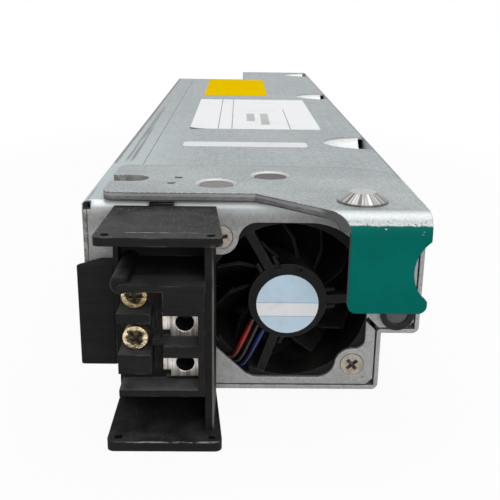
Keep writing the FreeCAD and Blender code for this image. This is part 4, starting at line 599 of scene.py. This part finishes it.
def lead(word, route, colour, deep):
    """One thin lead as a smooth line through its route, in millimetres, from the motor base to the plug."""
    node = "fan_lead_" + word
    line = bpy.data.curves.new(node + "_line", "CURVE")
    line.dimensions = "3D"
    line.bevel_depth = LEAD_DIAMETER / 2
    line.bevel_resolution = 4
    line.resolution_u = 16
    line.use_fill_caps = True
    run = line.splines.new("NURBS")
    run.points.add(len(route) - 1)
    for point, spot in zip(run.points, route):
        point.co = (*(c * MM for c in spot), 1.0)
    run.points[1].co.w = CORNER_PULL
    run.order_u = 3
    run.use_endpoint_u = True
    material, surface, place = start_finish(node + "_sleeve")
    soil = ease(grain(place, 500.0, 3.0), 0.4, 0.75)
    # Painted light and shade: each lead is painted bright in its middle and dark towards both ends, where it
    # runs into shade. Soil also dulls the bright part.
    lit_clean_middle = band(in_millimetres(place)[2], 10.0, 15.0, 2.2) * (1 - 0.4 * soil)
    lay_on(surface, place, {
        "Base Color": blend(lit_clean_middle, deep, colour),
        "Roughness": 0.17 + 0.2 * soil,
        "Normal": raised(grain(place, 1800.0), 0.02 * MM, 0.3),
    })
    line.materials.append(material)
    piece = bpy.data.objects.new(node + "_wire", line)
    bpy.context.scene.collection.objects.link(piece)
    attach(piece, "case")
    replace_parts(piece, node)


lead("red", [
    (4.259, -170.55, 17.473), (-0.2, -170.55, 6.9), (-16.2, -170.55, 8.6),
    (-16.2, -139.6, 13.6), (-16.2, -129.6, 13.6),
], (0.33, 0.009, 0.007), (0.05, 0.004, 0.004))
lead("black", [
    (5.379, -170.55, 16.013), (1.0, -170.55, 5.7), (-18.2, -170.55, 6.9),
    (-18.2, -139.6, 13.6), (-18.2, -129.6, 13.6),
], (0.006, 0.006, 0.006), (0.003, 0.003, 0.003))
lead("blue", [
    (6.894, -170.55, 14.696), (2.1, -170.55, 4.6), (-20.2, -170.55, 5.2),
    (-20.2, -139.6, 13.6), (-20.2, -129.6, 13.6),
], (0.009, 0.028, 0.14), (0.004, 0.008, 0.035))


def open_edges(made):
    """The open edges among what an extrusion made."""
    return [e for e in made if isinstance(e, bmesh.types.BMEdge) and e.is_boundary]


def cross_screw(shape, spot, turn, head, reach, depth, under, shank, length):
    """Add a cross-recess screw to a shape: a round head to the front, its recess, and a plain shank behind.

    Sizes are in millimetres: the head's radius, the reach and depth of the recess, how far the head goes back
    and its radius there, and the radius and length of the shank. The turn is in degrees.
    """
    head, reach, depth, shank, length = (size * MM for size in (head, reach, depth, shank, length))
    head_back, back_radius = (size * MM for size in under)
    made = bmesh.new()
    bmesh.ops.create_circle(made, segments=40, radius=head)
    rim = made.edges[:]
    cross = bmesh.ops.create_grid(made, x_segments=3, y_segments=3, size=reach)["verts"]
    for axis, slim in ((0, (0.82, 1.0, 1.0)), (1, (1.0, 0.82, 1.0))):
        inner = [v for v in cross if abs(v.co[axis]) < 0.5 * reach]
        bmesh.ops.scale(made, vec=slim, verts=inner)
    corners = [f for f in made.faces if min(abs(c) for c in f.calc_center_median().xy) > 0.3 * reach]
    bmesh.ops.delete(made, geom=corners, context="FACES")
    outline = [e for e in made.edges if e.is_boundary]
    bmesh.ops.triangle_fill(made, use_beauty=True, edges=outline + rim)
    bmesh.ops.delete(made, geom=[f for f in made.faces if len(f.verts) == 4], context="FACES")
    walls = bmesh.ops.extrude_edge_only(made, edges=outline)["geom"]
    low = new_points(walls)
    bmesh.ops.translate(made, vec=(0.0, 0.0, -depth), verts=low)
    bmesh.ops.scale(made, vec=(0.6, 0.6, 1.0), verts=low)
    bmesh.ops.triangle_fill(made, use_beauty=True, edges=open_edges(walls))
    ends = rim
    for drop, grow in ((head_back, back_radius / head), (0.0, shank / back_radius), (length, 1.0)):
        run = bmesh.ops.extrude_edge_only(made, edges=ends)["geom"]
        bmesh.ops.translate(made, vec=(0.0, 0.0, -drop), verts=new_points(run))
        bmesh.ops.scale(made, vec=(grow, grow, 1.0), verts=new_points(run))
        ends = open_edges(run)
    bmesh.ops.edgenet_fill(made, edges=ends)
    round_off(made, rim, 0.05 * head, 3)
    bmesh.ops.recalc_face_normals(made, faces=made.faces[:])
    for angle, axis in ((turn, "Z"), (90.0, "X")):
        bmesh.ops.rotate(made, matrix=Matrix.Rotation(math.radians(angle), 3, axis), verts=made.verts)
    bmesh.ops.translate(made, vec=spot, verts=made.verts)
    done = bpy.data.meshes.new("screw")
    made.to_mesh(done)
    made.free()
    shape.from_mesh(done)
    bpy.data.meshes.remove(done)


NICKEL_WARM, NICKEL_DULL = (0.40, 0.355, 0.30), (0.18, 0.15, 0.115)
RECESS_DARK, RECESS_DUSTY = (0.055, 0.042, 0.030), (0.16, 0.13, 0.10)
head_nickel, surface, place = start_finish("head_nickel")
soil = soiling(place, 700.0, 0.42, 0.7)
sunk = ease(in_millimetres(place)[1], FACE_MM + 0.10, FACE_MM + 0.5)
eased = rounded_edges(place, 0.15 * MM)[0]
colour = blend(0.6 * soil, NICKEL_WARM, NICKEL_DULL)
colour = blend(0.9 * sunk, colour, blend(soil, RECESS_DARK, RECESS_DUSTY))
lay_on(surface, place, {
    "Base Color": colour,
    "Metallic": 0.6 - 0.5 * sunk,
    "Roughness": 0.36 + 0.25 * soil + 0.2 * sunk,
    "Normal": raised(grain(place, 1500.0, 3.0), 0.03 * MM, 0.4, eased),
})
PROUD = 0.01 * MM
pair = bmesh.new()
for across, height, turn in ((-3.6, 38.56, 8.0), (28.4, 6.56, 41.0)):
    cross_screw(
        pair, (across * MM, FACE + PROUD, height * MM), turn,
        head=2.84, reach=1.7, depth=1.3, under=(1.3, 1.45), shank=1.4, length=10.0,
    )
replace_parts(new_piece("fan_screw_pair", pair, "case", head_nickel), "fan_screws")

# Terminal block: one black moulding with two guard plates, a wall and a stepped block, clipped in the face.
# Its edges are scuffed pale and grey dust lies on it; a plain black cap sits on the face to its left.
# Nickel-plated clamps with worn brass screws take the wires.
BLOCK_DEEP, BLOCK_PALE = (0.0055, 0.0052, 0.0058), (0.0125, 0.0118, 0.013)
BLOCK_DUST, LEDGE_DUST_AND_LIGHT, FLECK_PALE = (0.115, 0.112, 0.115), (0.20, 0.195, 0.21), (0.34, 0.335, 0.33)
EDGE_WORN, SCRAPED, WALL_WORN = (0.20, 0.195, 0.19), (0.42, 0.41, 0.40), (0.27, 0.225, 0.19)
block_black, surface, place = start_finish("block_black")
x, y, z = in_millimetres(place)
forward = -1 * y
texture = grain(place, 3200.0, 2.0)
flow = grain(stretched(place, (70.0, 70.0, 900.0)), 1.0, 4.0, 0.6)
cloud = grain(place, 140.0, 5.0, 0.65)
eased, edge = rounded_edges(place, 0.4 * MM)
upward = ease(facing(place, 2), 0.5, 0.9)
colour = blend(ease(0.5 * cloud + 0.5 * flow, 0.35, 0.65), BLOCK_DEEP, BLOCK_PALE)
toward_front = ease(forward, 180.0, 196.0)
uncovered = ease(z, 40.0, 42.0)
settled = upward * ease(cloud + 0.35 * texture, 0.40, 0.95)
settled = settled * (toward_front + (1 - toward_front) * uncovered)
on_ledges = band(z, 8.0, 37.0, 1.0) * ease(forward, 187.0, 189.0)
colour = blend(0.55 * settled + 0.35 * upward * on_ledges, colour, BLOCK_DUST)
# Dust and painted light: the low ledge, shaded by the block above, is painted paler than its dust alone would
# make it.
low_ledge_dust_and_light = upward * band(z, 7.5, 14.0, 0.5) * ease(forward, 186.0, 190.0)
colour = blend(0.60 * low_ledge_dust_and_light * ease(cloud, 0.25, 0.6), colour, LEDGE_DUST_AND_LIGHT)
flecks = ease(grain(place, 1700.0, 2.0), 0.67, 0.69)
colour = blend(0.55 * flecks * upward * (0.2 + 0.8 * uncovered), colour, FLECK_PALE)
patchy = ease(grain(stretched(place, (160.0, 500.0, 160.0)), 1.0, 3.0, 0.6), 0.50, 0.66)
colour = blend(0.5 * edge * patchy, colour, EDGE_WORN)
scrape = band(y, -194.75, -194.45, 0.08) * ease(z, 45.2, 45.5) * band(x, -22.0, -8.0, 2.0)
broken = ease(grain(stretched(place, (420.0, 2000.0, 2000.0)), 1.0, 4.0, 0.7), 0.40, 0.56)
rubbed_lip = ease(z, -1.0, -0.8) * (1 - ease(z, -0.5, -0.3))
rubbed_lip = rubbed_lip * ease(forward, 196.2, 196.4) * ease(x, -24.0, -21.5)
colour = blend(0.8 * (scrape + rubbed_lip) * broken, colour, SCRAPED)
wall_edge = ease(x, -4.95, -4.65) * ease(forward, 191.6, 191.9) * band(z, 0.5, 44.0, 1.0)
worn_long = ease(grain(stretched(place, (900.0, 900.0, 60.0)), 1.0, 4.0, 0.7), 0.36, 0.56)
colour = blend(0.75 * wall_edge * worn_long, colour, WALL_WORN)
lay_on(surface, place, {
    "Base Color": colour,
    "Roughness": 0.52 + 0.18 * cloud + 0.12 * settled,
    "Specular IOR Level": 0.13,
    "Normal": raised(texture + 1.8 * flow, 0.035 * MM, 0.6, eased),
})
dress(block_black, "terminal_housing")

GUARD_SLANT, GUARD_FORWARD = 6.3 * MM, 0.8 * MM
guard = bmesh.new()
guard_low, guard_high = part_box("side_guard")
middle = (guard_low + guard_high) / 2
add_block(guard, guard_low, guard_high)
outer_back = [v for v in guard.verts if v.co.x < middle.x and v.co.y > middle.y]
bmesh.ops.translate(guard, vec=(GUARD_SLANT, 0.0, 0.0), verts=outer_back)
guard_front = [v for v in guard.verts if v.co.y < middle.y]
bmesh.ops.translate(guard, vec=(0.0, -GUARD_FORWARD, 0.0), verts=guard_front)
round_off(guard, guard.edges[:], 0.5 * MM, 3)
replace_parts(new_piece("side_guard_wedge", guard, "case", block_black), "side_guard")

RAIL_FRONT_RADIUS, RAIL_BACK_RADIUS, RAIL_LENGTH = 2.2 * MM, 2.0 * MM, 18.5 * MM
RAIL_MIDDLE = (-24.0 * MM, -184.3 * MM, 34.0 * MM)
rail = bmesh.new()
bmesh.ops.create_cone(
    rail, cap_ends=True, segments=32,
    radius1=RAIL_FRONT_RADIUS, radius2=RAIL_BACK_RADIUS, depth=RAIL_LENGTH,
)
front_rim = [e for e in rail.edges if all(v.co.z < 0.0 for v in e.verts)]
round_off(rail, front_rim, 1.5 * MM, 5)
bmesh.ops.rotate(rail, matrix=Matrix.Rotation(math.radians(-90.0), 3, "X"), verts=rail.verts)
bmesh.ops.translate(rail, vec=RAIL_MIDDLE, verts=rail.verts)
bmesh.ops.recalc_face_normals(rail, faces=rail.faces[:])
new_piece("block_rail", rail, "case", block_black)

CLAMP_DARK, CLAMP_LIGHT, CLAMP_EDGE = (0.36, 0.33, 0.30), (0.86, 0.80, 0.74), (0.85, 0.83, 0.80)
CLAMP_SOIL, BORE_SHADE_BLACK = (0.10, 0.085, 0.06), (0.006, 0.005, 0.004)
clamp_nickel, surface, place = start_finish("clamp_nickel")
brushed = grain(stretched(place, (2600.0, 2600.0, 90.0)), 1.0, 3.0)
soil = soiling(place, 450.0, 0.45, 0.7)
eased, edge = rounded_edges(place, 0.3 * MM)
colour = blend(ease(brushed, 0.35, 0.65), CLAMP_DARK, CLAMP_LIGHT)
colour = blend(0.45 * soil, colour, CLAMP_SOIL)
colour = blend(0.8 * edge, colour, CLAMP_EDGE)
# Painted shade: the clamp behind the front of its bore is painted black and matte, for the shade deep in the
# recess.
bore_shade = ease(in_millimetres(place)[1], -189.42, -189.15)
lay_on(surface, place, {
    "Base Color": blend(0.97 * bore_shade, colour, BORE_SHADE_BLACK),
    "Metallic": 0.9 - 0.9 * bore_shade,
    "Roughness": 0.28 + 0.2 * soil + 0.4 * bore_shade,
    "Specular IOR Level": 0.04,
    "Normal": raised(brushed, 0.06 * MM, 0.6, eased),
})
dress(clamp_nickel, "upper_pole_bar", "lower_pole_bar")


def away_from(place, spot, counted):
    """Distance from a spot in millimetres, along the axes that are counted as 1."""
    flat = stretched(place, tuple(share / MM for share in counted))
    return place.make("VectorMath", {"operation": "DISTANCE"}, {0: flat, 1: spot}, "Value")


BRASS_PALE, BRASS_TARNISHED, BRASS_RIM_GLINT = (0.74, 0.62, 0.39), (0.24, 0.16, 0.062), (0.86, 0.80, 0.66)
DIRT_BROWN, DIRT_BLACK = (0.045, 0.028, 0.012), (0.014, 0.010, 0.008)


def screw_brass(name, centre):
    """Pale worn brass round the rim of a screw head with a painted highlight on its edges, dark dirt packed
    towards the cross recess.
    """
    material, surface, place = start_finish(name)
    out = away_from(place, centre, (1, 0, 1))
    patches = grain(place, 700.0, 4.0, 0.7)
    packed = 1 - ease(out + 3.6 * (patches - 0.5), 1.65, 2.05)
    tarnish = soiling(place, 420.0, 0.40, 0.58)
    eased, edge = rounded_edges(place, 0.25 * MM)
    colour = blend(0.85 * tarnish, BRASS_PALE, BRASS_TARNISHED)
    dirt = blend(ease(patches, 0.40, 0.60), DIRT_BROWN, DIRT_BLACK)
    colour = blend(0.94 * packed, colour, dirt)
    # Partly wear and partly a painted highlight: patches of the edges are painted near white.
    colour = blend(0.55 * edge * ease(patches, 0.45, 0.6), colour, BRASS_RIM_GLINT)
    lay_on(surface, place, {
        "Base Color": colour,
        "Metallic": 0.95 - 0.85 * packed,
        "Roughness": 0.26 + 0.25 * tarnish + 0.25 * packed,
        "Specular IOR Level": 0.2,
        "Normal": raised(patches, 0.6 * MM, 0.8, eased),
    })
    return material


SCREW_X, HEAD_FRONT = -21.2, -192.0
for side, height, turn in (("upper", 31.2, 4.0), ("lower", 21.7, 38.0)):
    worn = bmesh.new()
    cross_screw(
        worn, (SCREW_X * MM, HEAD_FRONT * MM, height * MM), turn,
        head=2.72, reach=1.75, depth=1.5, under=(2.95, 2.72), shank=1.45, length=7.9,
    )
    finish = screw_brass(side + "_brass", (SCREW_X, 0.0, height))
    screw = new_piece(side + "_brass_screw", worn, side + "_screw", finish)
    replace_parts(screw, side + "_terminal_screw")

# Ejector lever: 2 mm plated steel, blanked with an open hook slot and two pressed dishes, its tab bent down.
# The tab is dipped in teal paint up to the bend; the sheared edges stay dark and the bend carries a painted
# highlight.
PLATE_DARK, PLATE_LIGHT = (0.225, 0.252, 0.257), (0.475, 0.507, 0.512)
SHADE_LINE, DISH_RIM_HIGHLIGHT = (0.13, 0.135, 0.14), (0.74, 0.75, 0.75)
SHEAR_DARK, SHEAR_LIGHT, SHEAR_SMOOTH = (0.15, 0.145, 0.145), (0.24, 0.235, 0.235), (0.36, 0.36, 0.365)
TORN_BLACK, FOOT_BLACK, SPECK_BLACK = (0.04, 0.04, 0.04), (0.03, 0.03, 0.03), (0.08, 0.08, 0.08)
SLOT_GREY, SLOT_STAIN, TAB_END = (0.36, 0.35, 0.34), (0.11, 0.075, 0.05), (0.125, 0.125, 0.13)
BEAD_HIGHLIGHT, BEND_HIGHLIGHT = (0.80, 0.81, 0.81), (0.66, 0.68, 0.68)
TEAL_DEEP, TEAL_PALE = (0.0, 0.130, 0.106), (0.0, 0.148, 0.122)
DISHES = ((-4.8, -164.0, 0.0), (8.4, -154.7, 0.0))
REAR_CORNER = (25.5, -158.5, 0.0)
PAINT_TOP = 46.9
lever_plate, surface, place = start_finish("lever_plate")
x, y, z = in_millimetres(place)
forward = -1 * y
speckle = grain(place, 1700.0, 3.0, 0.7)
cloud = grain(place, 45.0, 4.0, 0.6)
torn = grain(stretched(place, (500.0, 500.0, 1500.0)), 1.0, 4.0, 0.7)
eased, edge = rounded_edges(place, 0.4 * MM)
up = facing(place, 2)
level_top = ease(up, 0.7, 0.9)
left_end = 1 - ease(facing(place, 0), -0.5, -0.35)
sheared = 1 - ease(up.make("Math", {"operation": "ABSOLUTE"}, {0: up}), 0.25, 0.6)
bent = ease(forward, 187.1, 189.1) * ease(z, 44.5, 46.5) * (1 - left_end)
flank = sheared * (1 - bent)
colour = blend(ease(0.65 * speckle + 0.35 * cloud, 0.32, 0.70), PLATE_DARK, PLATE_LIGHT)
# Painted shade: thin dark lines are painted along the two creases and just inside the rear edge, where shade
# falls.
crease_shade = band(y, -171.62, -171.38, 0.08) * ease(x, 3.0, 9.0) * level_top
crease_shade = crease_shade + band(y, -187.75, -187.55, 0.08) * level_top
round_corner = ease(away_from(place, REAR_CORNER, (1, 1, 0)), 14.1, 14.6)
at_corner = ease(x, 25.0, 26.0)
rear_edge_shade = ease(y, -144.5, -143.9) * (1 - at_corner)
rear_edge_shade = rear_edge_shade + round_corner * at_corner * ease(y, -158.5, -157.5)
colour = blend((0.45 * crease_shade + 0.45 * rear_edge_shade) * level_top, colour, SHADE_LINE)
shear = blend(ease(torn, 0.35, 0.65), SHEAR_DARK, SHEAR_LIGHT)
shear = blend(ease(z + 0.25 * torn, 48.35, 48.65), shear, SHEAR_SMOOTH)
jagged = band(z + 0.45 * torn, 49.22, 49.34, 0.05)
shear = blend(0.85 * jagged, shear, TORN_BLACK)
shear = blend(0.8 * (1 - ease(z, 47.4, 47.65)), shear, FOOT_BLACK)
in_slot = (1 - ease(x, -21.0, -19.0)) * ease(y, -165.0, -163.5)
stain = ease(grain(place, 260.0, 4.0, 0.7), 0.42, 0.60) * (1 - ease(x, -28.5, -24.0))
shear = blend(in_slot, shear, blend(0.8 * stain, SLOT_GREY, SLOT_STAIN))
shear = blend(left_end * ease(forward, 186.0, 188.0), shear, TAB_END)
colour = blend(0.95 * flank, colour, shear)
# Painted highlight: bright specks are painted along the upper edges of the lever.
bead_highlights = edge * ease(z, 48.6, 48.9) * ease(grain(place, 1300.0, 2.0, 0.6), 0.50, 0.56)
colour = blend(0.85 * bead_highlights, colour, BEAD_HIGHLIGHT)
# Painted light and shade round each dish: its rim is painted bright as a highlight, and a dark outline is
# painted as shade.
for dish in DISHES:
    out = away_from(place, dish, (1, 1, 0))
    colour = blend(0.85 * band(out, 4.2, 5.05, 0.08), colour, DISH_RIM_HIGHLIGHT)
    colour = blend(0.55 * band(out, 5.10, 5.24, 0.06) * level_top, colour, SHADE_LINE)
specks = bent * ease(grain(place, 1900.0, 3.0, 0.7), 0.57, 0.61) * (1 - ease(z, 47.2, 48.6))
# Painted highlight: the bend is painted lighter.
colour = blend(0.55 * bent, colour, BEND_HIGHLIGHT)
colour = blend(0.85 * specks, colour, SPECK_BLACK)
ragged = z + 0.7 * (grain(place, 800.0, 4.0, 0.7) - 0.5)
painted = (1 - ease(ragged, PAINT_TOP - 0.15, PAINT_TOP + 0.15)) * ease(forward, 187.0, 188.0)
chips = ease(grain(stretched(place, (1.0, 1.0, 1.6)), 480.0, 3.0, 0.65), 0.645, 0.66)
painted = painted * (1 - left_end) * (1 - chips * ease(z, 44.2, 46.0))
teal = blend(ease(grain(place, 120.0, 3.0), 0.3, 0.7), TEAL_DEEP, TEAL_PALE)
lay_on(surface, place, {
    "Base Color": blend(painted, colour, teal),
    "Metallic": 0.5 * (1 - painted) - 0.4 * flank,
    "Roughness": 0.38 + 0.16 * cloud + 0.25 * flank + 0.10 * painted,
    "Specular IOR Level": 0.06,
    "Normal": raised(speckle + 1.5 * flank * torn + 3.0 * painted, 0.03 * MM, 0.5, eased),
})
dress(lever_plate, "eject_lever")

STUD_X, STUD_Y = 27.5, -180.3
GLINT_DARK, GLINT_LIGHT = (0.07, 0.066, 0.062), (0.48, 0.47, 0.45)
STUD_FOOT, STUD_CROWN_LIT, STUD_SOIL = (0.16, 0.155, 0.15), (0.42, 0.43, 0.43), (0.22, 0.21, 0.20)
turned_steel, surface, place = start_finish("turned_steel")
x, y, z = in_millimetres(place)
outward = place.make("CombineXYZ", {}, {0: x - STUD_X, 1: y - STUD_Y})
outward = place.make("VectorMath", {"operation": "NORMALIZE"}, {0: outward})
glints = grain(outward, 4.5, 3.0, 0.6)
soil = soiling(place, 300.0, 0.5, 0.75)
eased = rounded_edges(place, 0.15 * MM)[0]
colour = blend(ease(glints, 0.36, 0.64), GLINT_DARK, GLINT_LIGHT)
colour = blend(0.75 * (1 - ease(z, 49.65, 49.95)), colour, STUD_FOOT)
# Painted highlight: the up-facing crown of the stud is painted lighter.
colour = blend(ease(facing(place, 2), 0.9, 0.98), colour, STUD_CROWN_LIT)
lay_on(surface, place, {
    "Base Color": blend(0.3 * soil, colour, STUD_SOIL),
    "Metallic": 0.7,
    "Roughness": 0.30 + 0.15 * soil,
    "Normal": raised(glints, 0.01 * MM, 0.3, eased),
})
dress(turned_steel, "lever_stud")
pivot_steel = worked_finish(
    "pivot_steel", (0.21, 0.20, 0.19), (0.13, 0.12, 0.11), metal=0.2, gloss=0.45, lumps=700.0,
)
dress(pivot_steel, "pivot_rivet", "pivot_washer")
# Painted shade: the glide rivet takes a darker copy of the pivot finish, for the shade in its dish.
glide_steel_shaded = worked_finish(
    "glide_steel_shaded", (0.075, 0.07, 0.066), (0.035, 0.033, 0.03), metal=0.2, gloss=0.45, lumps=700.0,
)
dress(glide_steel_shaded, "glide_rivet")

# Status lamp: a grey lens set in a black ring that snaps in a hole of the face.
# The lens is moulded in smoky plastic and is unlit here.
RING_DEEP, RING_PALE = (0.012, 0.012, 0.012), (0.022, 0.022, 0.022)
LENS_DEEP, LENS_PALE = (0.042, 0.038, 0.042), (0.07, 0.066, 0.07)
ring_black = moulding("ring_black", RING_DEEP, RING_PALE, gloss=0.30, dust=0.3, radius=0.3 * MM)
dress(ring_black, "lamp_holder")
smoky_lens, surface, place = start_finish("smoky_lens")
cloud = grain(place, 500.0, 3.0)
lay_on(surface, place, {
    "Base Color": blend(ease(cloud, 0.3, 0.7), LENS_DEEP, LENS_PALE),
    "Roughness": 0.22 + 0.15 * cloud,
    "Normal": raised(cloud, 0.05 * MM, 0.3),
    "Coat Weight": 0.25,
})
dress(smoky_lens, "status_lamp")

# Stage: a pale floor under the unit, soft light from above and in front, and the camera of the photograph.
# The floor and sky are white to the camera and to reflections, and the floor keeps the shadow.
FLOOR = cad_box[0].z - 0.02 * MM
FLOOR_GREY, WHITE = (0.74, 0.74, 0.74), (1.0, 1.0, 1.0)
SKY_LIGHT = 0.27


def seen_ray(tree):
    """1 for rays from the camera, from gloss and through clear things."""
    seen = Shade(tree, None).make("LightPath", {}, {}, "Is Camera Ray")
    node = seen.socket.node
    for name in ("Is Glossy Ray", "Is Transmission Ray"):
        seen = seen.reckon("MAXIMUM", seen, Shade(tree, node.outputs[name]))
    return seen


floor_pale, surface, place = start_finish("floor_pale")
lay_on(surface, place, {"Base Color": FLOOR_GREY, "Roughness": 0.9})
ring = stretched(place, (1.6, 1.0, 0.0))
from_unit = place.make("VectorMath", {"operation": "LENGTH"}, {0: ring}, "Value")
far_white = 0.94 + 0.06 * ease(from_unit, 0.18, 0.36)
glow = place.make("Emission", {}, {"Color": WHITE, "Strength": 1.0})
bare = Shade(place.tree, surface.outputs[0])
mixed = place.make("MixShader", {}, {0: far_white * seen_ray(place.tree), 1: bare, 2: glow})
place.tree.links.new(mixed.socket, place.tree.nodes["Material Output"].inputs["Surface"])
ground = bmesh.new()
bmesh.ops.create_grid(ground, x_segments=8, y_segments=8, size=6.0)
bmesh.ops.translate(ground, vec=(0.0, 0.0, FLOOR), verts=ground.verts)
floor = loose_object("floor", ground)
floor.data.materials.append(floor_pale)

world = bpy.data.worlds.new("studio")
world.use_nodes = True
bpy.context.scene.world = world
sky = world.node_tree.nodes["Background"]
level = SKY_LIGHT + (1.0 - SKY_LIGHT) * seen_ray(world.node_tree)
feed(world.node_tree, sky.inputs["Color"], WHITE)
feed(world.node_tree, sky.inputs["Strength"], level)


def softbox(name, spot, aim, size, watts):
    """A square area lamp at a spot, turned to a point, in metres."""
    lamp = bpy.data.lights.new(name, "AREA")
    lamp.size = size
    lamp.energy = watts
    stand = bpy.data.objects.new(name, lamp)
    stand.location = spot
    stand.rotation_mode = "QUATERNION"
    stand.rotation_quaternion = (Vector(aim) - Vector(spot)).to_track_quat("-Z", "Y")
    bpy.context.scene.collection.objects.link(stand)


softbox("overhead", (0.05, 0.0, 0.95), (0.0, 0.0, 0.0), size=0.9, watts=5.8)
softbox("front", (0.20, -1.05, 0.33), (0.0, -0.17, 0.02), size=0.6, watts=3.8)

CAMERA_SPOT = (0.38 * MM, -344.96 * MM, 90.29 * MM)
PITCH, YAW, ROLL = (math.radians(angle) for angle in (17.65, 0.97, 0.81))
FOCAL_SHARE = 780.2 / 500.0
ahead = Vector((math.sin(YAW) * math.cos(PITCH), math.cos(YAW) * math.cos(PITCH), -math.sin(PITCH)))
level_right = Vector((math.cos(YAW), -math.sin(YAW), 0.0))
level_up = level_right.cross(ahead)
right = math.cos(ROLL) * level_right + math.sin(ROLL) * level_up
up_way = math.cos(ROLL) * level_up - math.sin(ROLL) * level_right
turn = Matrix((right, up_way, -ahead)).transposed()
eye = bpy.data.cameras.new("eye")
eye.sensor_width = 36.0
eye.lens = FOCAL_SHARE * eye.sensor_width
eye.clip_start, eye.clip_end = 0.01, 50.0
tripod = bpy.data.objects.new("eye", eye)
tripod.matrix_world = Matrix.Translation(CAMERA_SPOT) @ turn.to_4x4()
bpy.context.scene.collection.objects.link(tripod)
bpy.context.scene.camera = tripod
bpy.context.scene.view_settings.view_transform = "Standard"
